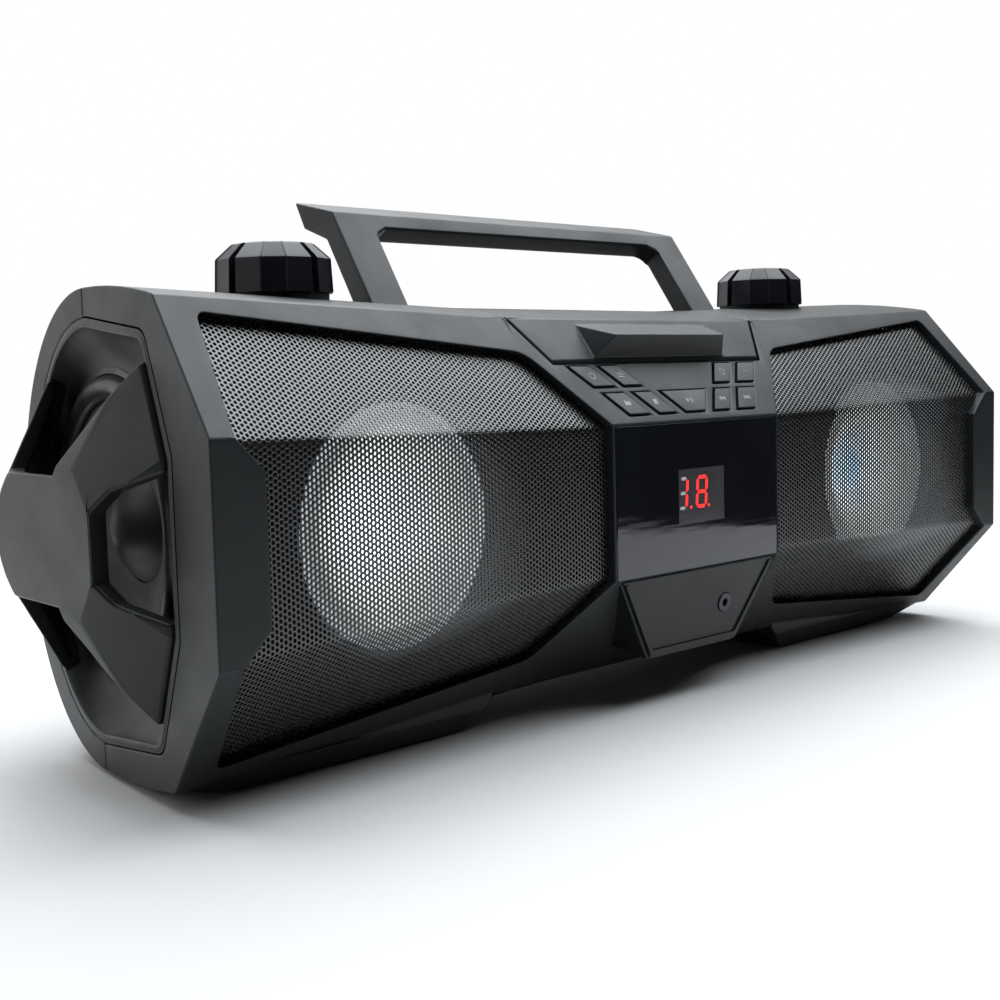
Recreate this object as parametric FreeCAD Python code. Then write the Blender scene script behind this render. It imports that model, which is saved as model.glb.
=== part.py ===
import FreeCAD, Part
import math
import os

V = FreeCAD.Vector

# ---------------------------------------------------------------- driving dimensions, mm
# Frame: +Z up, front faces -Y, +X is the listener's right, Z = 0 is the table.
MID_Z = 94.3             # height of the long axis of the cabinet
SEAM_Y = 13.5            # parting plane of the front and rear mouldings
WALL = 3.0               # moulded wall thickness

# cabinet section at the middle of the object and how it grows per mm towards the ends
CENTRE_HALF = 88.0       # the straight middle ends here
FRONT_FLAT_Y = (-82.15, -0.0398)
FRONT_FLAT_HALF = (32.0, 0.0239)
EDGE_Y = (-45.9, -0.0241)
EDGE_HALF = (76.85, 0.0392)
TOP_HALF = (84.8, 0.0327)
REAR_DEPTH = (74.5, 0.018)
CENTRE_SECTION = (-84.5, 33.4, -48.8, 79.8, 87.3, 75.9)
TOP_CROWN = 1.6          # bulge of the top and bottom faces over their chord
OUTER_X = 300.0          # rough length before the ends are trimmed

# slanted end faces
END_X = 259.0            # distance from the middle at END_AT_Y
END_AT_Y = -61.5
END_LEAN = 0.138         # the ends close in towards the back

# speaker openings, right-hand side, as x and height over the long axis
OPENING_UPPER = [(88.2, 65.1), (243.0, 80.7), (252.7, 38.3), (241.0, 26.4)]
OPENING_INNER = (59.8, 33.4)
OPENING_RADII = [3.0, 16.0, 4.0, 0, 0]   # at the inner corner, then along the upper ones
ARC_STEPS = 6            # straight steps in a rounded corner
GRILLE_DEPTH = 4.0       # the mesh sits this far behind the cabinet face
GRILLE_THICK = 1.6
BAFFLE_DEPTH = 13.0      # the speaker board behind the mesh
GRILLE_GAP = 0.4

# full-range drivers behind the grilles
DRIVER_X = 168.0
DRIVER_DEPTH = 21.0      # the driver's seat is this far behind the cabinet's flat face
DRIVER_CONE_R = 45.6
DRIVER_FRAME_R = 50.6
DRIVER_SEAT_R = 51.0
DRIVER_TOE = math.degrees(math.atan(0.0398))

# passive radiators in the ends
RADIATOR_Y = 13.5
RADIATOR_R = 62.0
END_RECESS = 11.6        # the radiator board sits this far inside the end face
GUARD_OUTLINE_FRONT = [(12.1, 81.5), (-42.9, 74.7), (-61.9, 31.6)]
GUARD_RADII = [0, 8.0, 5.0]
GUARD_REAR_DEPTH = 66.0
GUARD_PROUD = 23.5       # the hub of the guard stands this far out of the end face
GUARD_LEAN = 0.07        # and further out towards the back
GUARD_INSET = 4.0        # the arms end this far inside the end opening
GUARD_GAP = 0.5
GUARD_THICK = 4.0

# disc lid and the player below it
LID_FRONT_Y = -62.9
LID_FRONT_HALF = 73.7
LID_CORNER = (86.7, -47.8)
LID_R = 90.0
LID_CENTRE_Y = -23.5
LID_GAP = 1.2
LID_REAR_GAP = 4.4
LID_THICK = 2.4
LID_PIVOT = (64.0, 152.5)
DISC_Y = 3.0
WELL_FLOOR_Z = 146.0
WELL_R = 61.5

# finger lip of the lid
LIP_HALF_FRONT = 38.3
LIP_HALF_BACK = 47.0
LIP_FRONT = (-69.3, 166.6)

# control strip on the sloping face above the display: x ranges of the keys on their upper
# and lower edges, right-hand half; the left half is its mirror image
KEY_ROW_HIGH = (20.6, 31.5)
KEY_ROW_LOW = (4.9, 16.5)
KEY_OUTER_HIGH = (53.7, 66.3, 44.4, 57.7)
KEY_INNER_HIGH = (34.9, 47.0, 26.5, 38.3)
KEY_OUTER_LOW = (41.3, 54.1, 32.2, 45.6)
KEY_INNER_LOW = (23.4, 34.7, 13.9, 25.7)
KEY_CENTRE = (-15.9, 15.9, -7.0, 7.0)
KEY_GAP = 0.45
KEY_PROUD = 0.7
KEY_DEEP = 3.0
KEY_TRAVEL = 0.8

# display and socket panel
DISPLAY_HALF = 58.4
DISPLAY_Z = (60.4, 127.3)
DISPLAY_THICK = 2.4
WINDOW_HALF = 16.5
WINDOW_Z = (81.5, 106.0)
CHIN_BOTTOM = (-78.0, 22.0)      # y and z of the lower edge of the socket panel
CHIN_HALF_BOTTOM = 32.4
CHIN_THICK = 3.0
JACK_X = 20.0
JACK_Z = 41.5
JACK_R = 1.8

# knobs
KNOB_X = 168.2
KNOB_Y = 3.1
KNOB_BASE_Z = 185.6
KNOB_SHOULDER_Z = 199.7
KNOB_TOP_Z = 205.8
KNOB_R = 24.0
KNOB_SHOULDER_R = 23.2
KNOB_TOP_R = 15.0
KNOB_FLUTES = 12
STEM_R = 3.0
STEM_FIT = 0.05

# handle
HANDLE_OUTER = 119.4
HANDLE_INNER = 98.9
HANDLE_FLARE = 2.0       # the legs stand this much wider apart at their feet
HANDLE_FRONT = [(-1.5, 182.5), (22.2, 218.0), (26.606, 224.6)]
HANDLE_REAR = [(54.1, 231.0), (47.5, 218.4), (31.2, 212.3), (12.7, 183.6)]
HANDLE_FOOT_Z = 166.0
GUSSET_REACH = 7.0       # corner piece between the bar and a leg
GUSSET_DROP = 0.55       # its height as a share of its reach

# feet
FOOT_INNER = (102.0, 115.0)
FOOT_OUTER = (229.0, 256.0)
FOOT_FRONT_Y = (-46.0, -50.5)    # at the sole and where it meets the cabinet
FOOT_BACK_Y = 44.0
FOOT_PLAN = [(90.0, -60.0), (260.0, -60.0), (256.0, -48.0), (226.0, 44.0), (90.0, 44.0)]
SOLE_Z = 0.8
FOOT_HIGH = 22.0         # the rails run up into the cabinet to here
PAD_R = 9.0
PAD_HIGH = 3.0
PAD_X = (132.0, 206.0)
PAD_Y = (-28.0, 28.0)

# back
SCREW_X = (-203.0, -95.0, 95.0, 203.0)
SCREW_Z = (48.0, 140.6)
BATTERY_HALF = 62.0
BATTERY_Z = (48.0, 118.0)
DOOR_EDGE_R = 1.6
INLET_X = -112.0
INLET_Z = 60.0
AERIAL_X = 196.0
AERIAL_Z = 150.0
AERIAL_LENGTH = 330.0
AERIAL_R = 3.2


# ---------------------------------------------------------------- helpers
def extruded(points, direction):
    """A closed straight-sided solid from corner points."""
    face = Part.Face(Part.makePolygon(points + points[:1]))
    return face.extrude(direction)


def plan_prism(points, z0, z1):
    return extruded([V(x, y, z0) for x, y in points], V(0, 0, z1 - z0))


def front_prism(points, y0, y1):
    return extruded([V(x, y0, z) for x, z in points], V(0, y1 - y0, 0))


def side_prism(points, x0, x1):
    return extruded([V(x0, y, z) for y, z in points], V(x1 - x0, 0, 0))


def box(x0, x1, y0, y1, z0, z1):
    return Part.makeBox(x1 - x0, y1 - y0, z1 - z0, V(x0, y0, z0))


def turned(profile):
    """A solid of revolution about Y from (radius, y) corners."""
    points = [V(r, y, 0) for r, y in profile]
    face = Part.Face(Part.makePolygon(points + points[:1]))
    return face.revolve(V(0, 0, 0), V(0, 1, 0), 360)


def mirrored(shape):
    return shape.mirror(V(0, 0, 0), V(1, 0, 0))


def grown(points, gap):
    """The corner points of a closed outline moved outwards by gap."""
    count = len(points)
    area = sum(points[i][0] * points[(i + 1) % count][1]
               - points[(i + 1) % count][0] * points[i][1] for i in range(count))
    side = 1 if area > 0 else -1
    out = []
    for i in range(count):
        (ax, ay), (bx, by), (cx, cy) = points[i - 1], points[i], points[(i + 1) % count]
        n1 = _normal(ax, ay, bx, by, side)
        n2 = _normal(bx, by, cx, cy, side)
        scale = gap / (1 + n1[0] * n2[0] + n1[1] * n2[1])
        out.append((bx + (n1[0] + n2[0]) * scale, by + (n1[1] + n2[1]) * scale))
    return out


def softened(points, radii):
    """A closed outline with its corners replaced by arcs; a radius of 0 keeps a corner."""
    out = []
    count = len(points)
    for i in range(count):
        here, radius = points[i], radii[i]
        if not radius:
            out.append(here)
            continue
        before, after = points[i - 1], points[(i + 1) % count]
        first = math.atan2(before[1] - here[1], before[0] - here[0])
        second = math.atan2(after[1] - here[1], after[0] - here[0])
        half = abs(math.remainder(second - first, 2 * math.pi)) / 2
        middle = first + math.remainder(second - first, 2 * math.pi) / 2
        away = radius / math.sin(half)
        centre = (here[0] + away * math.cos(middle), here[1] + away * math.sin(middle))
        sweep = math.pi / 2 - half
        turn = math.copysign(1.0, math.remainder(second - first, 2 * math.pi))
        for step in range(ARC_STEPS + 1):
            angle = middle + math.pi + turn * sweep * (1 - 2 * step / ARC_STEPS)
            out.append((centre[0] + radius * math.cos(angle), centre[1] + radius * math.sin(angle)))
    return out


def _normal(ax, ay, bx, by, side):
    length = math.hypot(bx - ax, by - ay)
    return (side * (by - ay) / length, -side * (bx - ax) / length)


def at(pair, x):
    return pair[0] + pair[1] * x


# ---------------------------------------------------------------- cabinet envelope
def section_wire(x, inset, values):
    """The cabinet's outline at x: flat front, two slopes, crowned top, elliptic back."""
    flat_y, flat_half, edge_y, edge_half, top_half, depth = values
    flat_y += inset
    flat_half -= 0.35 * inset
    edge_y += 0.53 * inset
    edge_half -= 0.95 * inset
    top_half -= inset
    depth -= inset
    crown_y = (edge_y + SEAM_Y) / 2
    crown = (edge_half + top_half) / 2 + TOP_CROWN

    def p(y, h):
        return V(x, y, MID_Z + h)

    back = Part.Ellipse(p(SEAM_Y, top_half), p(SEAM_Y + depth, 0), p(SEAM_Y, 0))
    return Part.Wire([
        Part.LineSegment(p(flat_y, -flat_half), p(flat_y, flat_half)).toShape(),
        Part.LineSegment(p(flat_y, flat_half), p(edge_y, edge_half)).toShape(),
        Part.Arc(p(edge_y, edge_half), p(crown_y, crown), p(SEAM_Y, top_half)).toShape(),
        Part.ArcOfEllipse(back, 0, math.pi).toShape(),
        Part.Arc(p(SEAM_Y, -top_half), p(crown_y, -crown), p(edge_y, -edge_half)).toShape(),
        Part.LineSegment(p(edge_y, -edge_half), p(flat_y, -flat_half)).toShape(),
    ])


def wing_values(x):
    return [at(pair, x) for pair in
            (FRONT_FLAT_Y, FRONT_FLAT_HALF, EDGE_Y, EDGE_HALF, TOP_HALF, REAR_DEPTH)]


def end_x(y):
    return END_X - END_LEAN * (y - END_AT_Y)


def end_trim(inset):
    """Everything between the two slanted end faces, moved inwards by inset."""
    front, back = -140.0, 140.0
    outline = [(end_x(front) - inset, front), (end_x(back) - inset, back),
               (inset - end_x(back), back), (inset - end_x(front), front)]
    return plan_prism(outline, -40, 260)


def envelope(inset):
    """The closed outer form of the cabinet, all faces moved inwards by inset."""
    wing = Part.makeLoft([section_wire(0.0, inset, wing_values(0.0)),
                          section_wire(OUTER_X, inset, wing_values(OUTER_X))], True, True)
    middle = Part.makeLoft([section_wire(-CENTRE_HALF, inset, CENTRE_SECTION),
                            section_wire(CENTRE_HALF, inset, CENTRE_SECTION)], True, True)
    whole = wing.fuse(mirrored(wing)).fuse(middle)
    return whole.common(end_trim(inset))


def facet_point(s):
    """y, z of a point s mm up the sloping control face from the display's top edge."""
    flat_y, flat_half, edge_y, edge_half = CENTRE_SECTION[:4]
    length = math.hypot(edge_y - flat_y, edge_half - flat_half)
    return (flat_y + s * (edge_y - flat_y) / length,
            MID_Z + flat_half + s * (edge_half - flat_half) / length)


def facet_normal():
    (y0, z0), (y1, z1) = facet_point(0), facet_point(1)
    return V(0, -(z1 - z0), y1 - y0)


# ---------------------------------------------------------------- outlines
def opening_outline():
    """The speaker opening, as x, z corners on the right-hand side."""
    upper = OPENING_UPPER
    points = [OPENING_INNER] + upper
    lower = [(x, -h) for x, h in reversed(points)]
    outline = [(x, MID_Z + h) for x, h in points + lower]
    return softened(outline, OPENING_RADII + OPENING_RADII[::-1])


def guard_outline(gap):
    """The end opening as y, z corners: three bends in front, half an ellipse behind."""
    front = [(y, h) for y, h in GUARD_OUTLINE_FRONT]
    top = front[0][1]
    steps = 16
    back = []
    for i in range(1, steps):
        angle = math.pi / 2 - math.pi * i / steps
        back.append((12.1 + GUARD_REAR_DEPTH * math.cos(angle), top * math.sin(angle)))
    points = list(reversed(front)) + back + [(y, -h) for y, h in front]
    radii = GUARD_RADII[::-1] + [0] * len(back) + GUARD_RADII
    radii = [max(r + gap, 0.0) if r else 0 for r in radii]
    return [(y, MID_Z + h) for y, h in softened(grown(points, gap), radii)]


def lid_outline(gap, rear_gap):
    """Plan outline of the disc lid: straight front, cut corners, round back."""
    steps = 36
    start = math.atan2(LID_CORNER[1] - LID_CENTRE_Y, LID_CORNER[0])
    points = []
    for i in range(steps + 1):
        angle = start + (math.pi - 2 * start) * i / steps
        rear = max(0.0, math.sin(angle))
        points.append(((LID_R + gap) * math.cos(angle),
                       LID_CENTRE_Y + (LID_R + gap + (rear_gap - gap) * rear)
                       * math.sin(angle)))
    points.append((-LID_FRONT_HALF - 0.4 * gap, LID_FRONT_Y - gap))
    points.append((LID_FRONT_HALF + 0.4 * gap, LID_FRONT_Y - gap))
    return points


def key_shapes():
    """Each key's name with its four corners as x, s on the control face."""
    high, low = KEY_ROW_HIGH, KEY_ROW_LOW

    def right(row, top_in, top_out, low_in, low_out):
        return [(top_in, row[1]), (top_out, row[1]), (low_out, row[0]), (low_in, row[0])]

    def left(corners):
        return [(-x, s) for x, s in reversed(corners)]

    outer_high = right(high, *KEY_OUTER_HIGH)
    inner_high = right(high, *KEY_INNER_HIGH)
    outer_low = right(low, *KEY_OUTER_LOW)
    inner_low = right(low, *KEY_INNER_LOW)
    c = KEY_CENTRE
    middle = [(c[0], low[1]), (c[1], low[1]), (c[3], low[0]), (c[2], low[0])]
    return {
        "key_power": left(outer_high), "key_source": left(inner_high),
        "key_folder": left(outer_low), "key_stop": left(inner_low),
        "key_play": middle, "key_repeat": inner_high, "key_program": outer_high,
        "key_previous": inner_low, "key_next": outer_low,
    }


def on_facet(corners, gap, low, high):
    """A prism over corners on the control face, from low to high along its normal."""
    n = facet_normal()
    points = []
    for x, s in grown(corners, gap):
        y, z = facet_point(s)
        points.append(V(x, y, z) + n * low)
    return extruded(points, n * (high - low))


# ---------------------------------------------------------------- cabinet mouldings
def foot():
    """One moulded foot rail, right-hand side, from its flat sole up into the cabinet."""
    inner, outer = FOOT_INNER, FOOT_OUTER
    high = FOOT_HIGH
    from_front = front_prism([(inner[0], 13.0), (inner[1], SOLE_Z), (outer[0], SOLE_Z),
                              (outer[1], 8.5), (outer[1], high), (inner[0], high)],
                             FOOT_FRONT_Y[1], FOOT_BACK_Y)
    from_side = side_prism([(FOOT_FRONT_Y[0], SOLE_Z), (FOOT_FRONT_Y[1], 10.0),
                            (FOOT_FRONT_Y[1], high), (FOOT_BACK_Y, high),
                            (FOOT_BACK_Y, SOLE_Z)], 0, 300)
    in_plan = plan_prism(FOOT_PLAN, -10, 40)
    return from_front.common(from_side).common(in_plan)


def pad_places():
    return [(side * x, y) for side in (-1, 1) for x in PAD_X for y in PAD_Y]


def foot_pads():
    return Part.makeCompound([Part.makeCylinder(PAD_R, PAD_HIGH, V(x, y, 0))
                              for x, y in pad_places()])


def chin():
    """The raised tongue below the display that carries the audio socket."""
    top_y, top_z = CENTRE_SECTION[0], DISPLAY_Z[0] - 0.6
    low_y, low_z = CHIN_BOTTOM
    front = [(DISPLAY_HALF - 1.0, top_z, top_y), (CHIN_HALF_BOTTOM, low_z, low_y)]
    wide, narrow = front
    plate = [V(-wide[0], wide[2], wide[1]), V(-narrow[0], narrow[2], narrow[1]),
             V(narrow[0], narrow[2], narrow[1]), V(wide[0], wide[2], wide[1])]
    return plate


def chin_block(depth_from, depth_to, gap):
    """Material behind the socket panel's face between two depths."""
    points = chin()
    n = (points[1] - points[0]).cross(points[3] - points[0])
    n.normalize()
    inward = n if n.y > 0 else n * -1
    cut = [V(p.x - math.copysign(gap, p.x), p.y, p.z) for p in points]
    return extruded([p + inward * depth_from for p in cut], inward * (depth_to - depth_from))


def driver_seat(outer, inner, front, back):
    """A tube round the right-hand driver's axis; front and back are depths from its seat."""
    ring = Part.makeCylinder(outer, back - front, V(0, front, 0), V(0, 1, 0))
    if inner:
        ring = ring.cut(Part.makeCylinder(inner, back - front, V(0, front, 0), V(0, 1, 0)))
    return placed_driver(ring)


def driver_face_y():
    return at(FRONT_FLAT_Y, DRIVER_X) + DRIVER_DEPTH


def placed_driver(shape):
    """Moves a shape built round the Y axis to the right-hand driver's place."""
    turn = FreeCAD.Rotation(V(0, 0, 1), -DRIVER_TOE)
    shape.Placement = FreeCAD.Placement(V(DRIVER_X, driver_face_y(), MID_Z), turn)
    return shape


def knob_hole():
    return Part.makeCylinder(STEM_R + 1.5, 40, V(KNOB_X, KNOB_Y, 165))


def screw_places():
    return [(x, z) for x in SCREW_X for z in SCREW_Z]


def screw(x, z):
    """A pan-head screw in the back cover, driven from behind."""
    tip = SEAM_Y + 44
    head = back_y(z) - 6
    shank = Part.makeCylinder(1.5, head - tip, V(x, tip, z), V(0, 1, 0))
    return shank.fuse(Part.makeCylinder(3.2, 2.2, V(x, head, z), V(0, 1, 0)))


def back_y(z):
    """Where the back of the cabinet is at height z, near the middle."""
    half, depth = CENTRE_SECTION[4], CENTRE_SECTION[5]
    return SEAM_Y + depth * math.sqrt(1 - ((z - MID_Z) / half) ** 2)


def screw_well(x, z):
    """The counterbore over a screw, and a close bore along it."""
    head = back_y(z) - 6
    well = Part.makeCylinder(4.0, 40, V(x, head, z), V(0, 1, 0))
    return well.fuse(Part.makeCylinder(1.5, head - SEAM_Y, V(x, SEAM_Y, z), V(0, 1, 0)))


def screw_boss(x, z):
    head = back_y(z) - 6
    return Part.makeCylinder(6.0, 20, V(x, head - 14, z), V(0, 1, 0))


def shell():
    """Both cabinet mouldings as one closed shell, before they are parted."""
    outer = envelope(0)
    inner = envelope(WALL)
    feet = foot().fuse(mirrored(foot()))
    body = outer.fuse(feet).cut(inner)
    deep = envelope(BAFFLE_DEPTH)
    back_of_board = envelope(BAFFLE_DEPTH + WALL)
    outline = opening_outline()
    tray = front_prism(grown(outline, WALL), -130, -40).common(outer).cut(back_of_board)
    pocket = front_prism(outline, -130, -40).cut(deep)
    body = body.fuse(tray).fuse(mirrored(tray)).cut(pocket).cut(mirrored(pocket))
    front_space = driver_seat(DRIVER_SEAT_R, 0, -20, 0).common(front_prism(outline, -130, -40))
    seat = driver_seat(DRIVER_SEAT_R, DRIVER_CONE_R + 1.4, 0, 20)
    bore = driver_seat(DRIVER_CONE_R + 1.4, 0, 0, 60)
    for shape in (front_space, bore):
        body = body.cut(shape).cut(mirrored(shape))
    body = body.fuse(seat).fuse(mirrored(seat))
    guard_hole = side_prism(guard_outline(GUARD_GAP), 215, 320)
    body = body.cut(guard_hole).cut(mirrored(guard_hole))
    body = body.cut(plan_prism(lid_outline(LID_GAP, LID_REAR_GAP), 140, 220))
    for x, y in pad_places():
        body = body.cut(Part.makeCylinder(PAD_R, PAD_HIGH, V(x, y, 0)))
    hole = knob_hole()
    return body.cut(hole).cut(mirrored(hole)).cut(handle())


def front_cabinet(whole):
    front = whole.common(box(-320, 320, -200, SEAM_Y, -50, 300))
    chin_outer = chin_block(0, 45, 0)
    front = front.fuse(chin_outer.cut(envelope(0)))
    for corners in key_shapes().values():
        front = front.cut(on_facet(corners, KEY_GAP, -12, 5))
    front = front.cut(box(-DISPLAY_HALF - 0.3, DISPLAY_HALF + 0.3, -100,
                          CENTRE_SECTION[0] + DISPLAY_THICK, *DISPLAY_Z))
    front = front.cut(box(-40, 40, -90, -60, 68, 119))
    front = front.cut(chin_block(-1, CHIN_THICK, 2.2))
    return front.cut(box(JACK_X - 7, JACK_X + 7, -84, -40, JACK_Z - 7, JACK_Z + 7))


def battery_opening(gap):
    return box(-BATTERY_HALF - gap, BATTERY_HALF + gap, SEAM_Y + 40, 120,
               BATTERY_Z[0] - gap, BATTERY_Z[1] + gap)


def rear_cabinet(whole):
    rear = whole.common(box(-320, 320, SEAM_Y, 200, -50, 300))
    inside = envelope(0.5)
    for x, z in screw_places():
        rear = rear.fuse(screw_boss(x, z).common(inside)).cut(screw_well(x, z))
    rear = rear.cut(battery_opening(0.5))
    return rear.cut(box(INLET_X - 12.5, INLET_X + 12.5, 40, 120, INLET_Z - 9, INLET_Z + 9))


# ---------------------------------------------------------------- grilles and drivers
def grille():
    """The folded steel mesh panel, right-hand side, as a plate over its outline."""
    outline = grown(opening_outline(), -GRILLE_GAP)
    near = envelope(GRILLE_DEPTH)
    far = envelope(GRILLE_DEPTH + GRILLE_THICK)
    return keep_largest(front_prism(outline, -130, -40).common(near).cut(far))


def driver_parts():
    """The right-hand driver, built round its axis with its front frame face at y = 0."""
    r, f = DRIVER_CONE_R, DRIVER_FRAME_R
    frame = turned([(f, -1.2), (f, 0), (r + 1.2, 0), (r + 1.2, 3), (31, 33), (18, 33),
                    (18, 31), (29, 31), (r - 1.0, 3), (r - 1.0, -1.2)])
    magnet = turned([(34, 33.3), (34, 48), (0, 48), (0, 33.3)])
    surround = turned([(r - 1.2, -1.6), (r - 1.2, -0.4), (r - 3.2, -2.6), (r - 5.8, -2.6),
                       (r - 7.8, -0.4), (r - 7.8, -1.6), (r - 6.2, -4.2), (r - 2.8, -4.2)])
    cone = turned([(r - 8, -1.6), (r - 8, -0.4), (16, 17), (12, 17.4), (12, 16.2), (14.6, 15.6)])
    cap = turned([(14.2, 15.4), (13.4, 15.6), (10, 12.4), (5, 10.6), (0, 10.2), (0, 9),
                  (5.4, 9.4), (10.8, 11.4)])
    ring = turned([(r + 1.4, -3.0), (r + 1.4, -1.4), (r - 0.6, -1.4), (r - 0.6, -3.0)])
    return {"driver_frame": frame, "driver_magnet": magnet, "driver_surround": surround,
            "driver_cone": cone, "driver_cap": cap, "light_ring": ring}


# ---------------------------------------------------------------- ends
def end_layer(outline, inset_from, inset_to):
    """A slab over an end outline between two depths inside the slanted end face."""
    return side_prism(outline, 150, 330).common(end_trim(inset_from)).cut(end_trim(inset_to))


def guard_half(outline, hub, plate_inset, proud, reach):
    """A hollow pyramid from the end outline out to the hub, as one loft."""
    def ring(points, lift, lean):
        return Part.makePolygon([V(end_x(y) + lift + lean * (y - SEAM_Y), y, z)
                                 for y, z in points + points[:1]])
    return Part.makeLoft([ring(outline, -plate_inset, 0), ring(outline, reach, 0),
                          ring(hub, proud, GUARD_LEAN)], True, True)


def hub_outline(outline, scale_y, scale_z):
    return [(SEAM_Y + (y - SEAM_Y) * scale_y, MID_Z + (z - MID_Z) * scale_z)
            for y, z in outline]


def guard_windows():
    """The four openings between the guard's arms, as y, z corners, open at the outline."""
    top = [(-3.5, 24.0), (43.5, 24.0), (54.0, 66.0), (58.0, 95.0), (-52.0, 95.0), (-45.0, 66.0)]
    front = [(-33.0, 12.5), (-33.0, -12.5), (-39.5, -19.5), (-75.0, -32.0), (-75.0, 32.0),
             (-39.5, 19.5)]
    back = [(2 * SEAM_Y - y, h) for y, h in front]
    out = []
    for corners in (top, [(y, -h) for y, h in top], front, back):
        out.append([(y, MID_Z + h) for y, h in corners])
    return out


def end_guard():
    """The cross-shaped guard of the right-hand end."""
    outline = guard_outline(-GUARD_INSET)
    hub = hub_outline(outline, 0.65, 0.38)
    outer = guard_half(outline, hub, 6.0, GUARD_PROUD, 1.5)
    inner_outline = guard_outline(-GUARD_INSET - GUARD_THICK)
    inner_hub = hub_outline(inner_outline, 0.6, 0.34)
    inner = guard_half(inner_outline, inner_hub, 6.5, GUARD_PROUD - GUARD_THICK, -1.5)
    body = outer.cut(inner)
    for corners in guard_windows():
        body = body.cut(side_prism(corners, 150, 340))
    return body


def radiator_parts():
    """The passive radiator of the right-hand end: board, surround, cone and dust cap."""
    r = RADIATOR_R
    x = end_x(RADIATOR_Y) - END_RECESS
    board = end_layer(guard_outline(0), END_RECESS, END_RECESS + 3)
    bore = Part.makeCylinder(r - 2, 60, V(x - 30, RADIATOR_Y, MID_Z), V(1, 0, 0))
    board = board.cut(bore)

    def put(profile):
        shape = turned(profile)
        lean = math.degrees(math.atan(END_LEAN))
        turn = FreeCAD.Rotation(V(0, 0, 1), 90 + lean)
        shape.Placement = FreeCAD.Placement(V(x, RADIATOR_Y, MID_Z), turn)
        return shape

    surround = put([(r + 1, -2.0), (r + 1, -0.2), (r - 3, -0.2), (r - 6, -4.2), (r - 10, -4.2),
                    (r - 13.5, -0.6), (r - 13.5, -2.2), (r - 11, -5.6), (r - 5.4, -5.6),
                    (r - 2.4, -2.0)])
    cone = put([(r - 13.7, -2.2), (r - 13.7, -0.6), (20, 10), (0, 10), (0, 8.6), (19, 8.6)])
    cap = put([(21, 6.4), (19, 7.6), (0, 8.4), (0, -2.6), (8, -1.4), (16, 2.4)])
    return {"radiator_board": board, "radiator_surround": surround, "radiator_cone": cone,
            "radiator_cap": cap}


# ---------------------------------------------------------------- disc player
def lip():
    """The finger lip of the lid: a wedge standing off the sloping face."""
    y_low, z_low = facet_point(36.0)
    y_back, z_back = facet_point(57.5)
    def ring(x_front, x_back):
        return [V(x_back, y_low + 1.0, z_low - 0.6), V(x_front, LIP_FRONT[0], LIP_FRONT[1]),
                V(x_back, y_back + 1.5, z_back - 1.0)]
    left = ring(-LIP_HALF_FRONT, -LIP_HALF_BACK)
    right = ring(LIP_HALF_FRONT, LIP_HALF_BACK)
    faces = [Part.Face(Part.makePolygon(left + left[:1])),
             Part.Face(Part.makePolygon(right + right[:1]))]
    for i in range(3):
        a, b = left[i], left[(i + 1) % 3]
        c, d = right[(i + 1) % 3], right[i]
        faces.append(Part.Face(Part.makePolygon([a, b, c, d, a])))
    return Part.Solid(Part.Shell(faces))


def lid_knuckles():
    """Two hinge barrels under the back of the lid."""
    y, z = LID_PIVOT
    parts = []
    for side in (-1, 1):
        x0 = side * 32 - 4
        barrel = Part.makeCylinder(3.2, 8, V(x0, y, z), V(1, 0, 0))
        web = box(x0, x0 + 8, y - 9, y, z - 1.5, z + 12)
        parts.append(barrel.fuse(web))
    return parts


def hinge_bore(radius):
    y, z = LID_PIVOT
    return Part.makeCylinder(radius, 140, V(-70, y, z), V(1, 0, 0))


def cd_lid():
    plan = plan_prism(lid_outline(0, 0), 100, 220)
    skin = envelope(0).cut(envelope(LID_THICK)).common(plan)
    skin = skin.fuse(lip().cut(envelope(1.0)))
    under = envelope(LID_THICK - 0.6).common(plan)
    for knuckle in lid_knuckles():
        skin = skin.fuse(knuckle.common(under))
    lid = skin.cut(hinge_bore(1.55))
    return keep_largest(lid)


def keep_largest(shape):
    return max(shape.Solids, key=lambda s: s.Volume)


def hinge_pins():
    y, z = LID_PIVOT
    return Part.makeCompound([Part.makeCylinder(1.5, 16, V(side * 32 - 8, y, z), V(1, 0, 0))
                              for side in (-1, 1)])


def tray_space():
    """The room that the speaker trays take, both sides, with a little clearance."""
    prism = front_prism(grown(opening_outline(), WALL + 0.5), -130, -30)
    return prism.fuse(mirrored(prism))


def cd_well():
    """The disc tray below the lid, with the hub hole, the lens slot and hinge brackets."""
    plan = plan_prism(lid_outline(LID_GAP + 3, LID_REAR_GAP), WELL_FLOOR_Z - 3, 220)
    tray = envelope(WALL + 0.4).common(plan)
    tray = tray.cut(Part.makeCylinder(WELL_R, 60, V(0, DISC_Y, WELL_FLOOR_Z)))
    tray = tray.cut(Part.makeCylinder(19, 20, V(0, DISC_Y, WELL_FLOOR_Z - 10)))
    key_space = [(-74.0, KEY_ROW_HIGH[1] + 3), (74.0, KEY_ROW_HIGH[1] + 3), (74.0, -6.0),
                 (-74.0, -6.0)]
    tray = tray.cut(on_facet(key_space, 0, -KEY_DEEP - KEY_TRAVEL - 3.2, 4))
    tray = tray.cut(tray_space())
    tray = tray.cut(box(14, 60, DISC_Y - 10, DISC_Y + 10, WELL_FLOOR_Z - 10, WELL_FLOOR_Z + 1))
    y, z = LID_PIVOT
    for side in (-1, 1):
        tray = tray.cut(box(side * 32 - 4.6, side * 32 + 4.6, y - 12, y + 12, z - 6, z + 30))
    tray = tray.cut(hinge_bore(1.5).common(box(-41, 41, 40, 80, 140, 165)))
    return keep_largest(tray)


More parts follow.
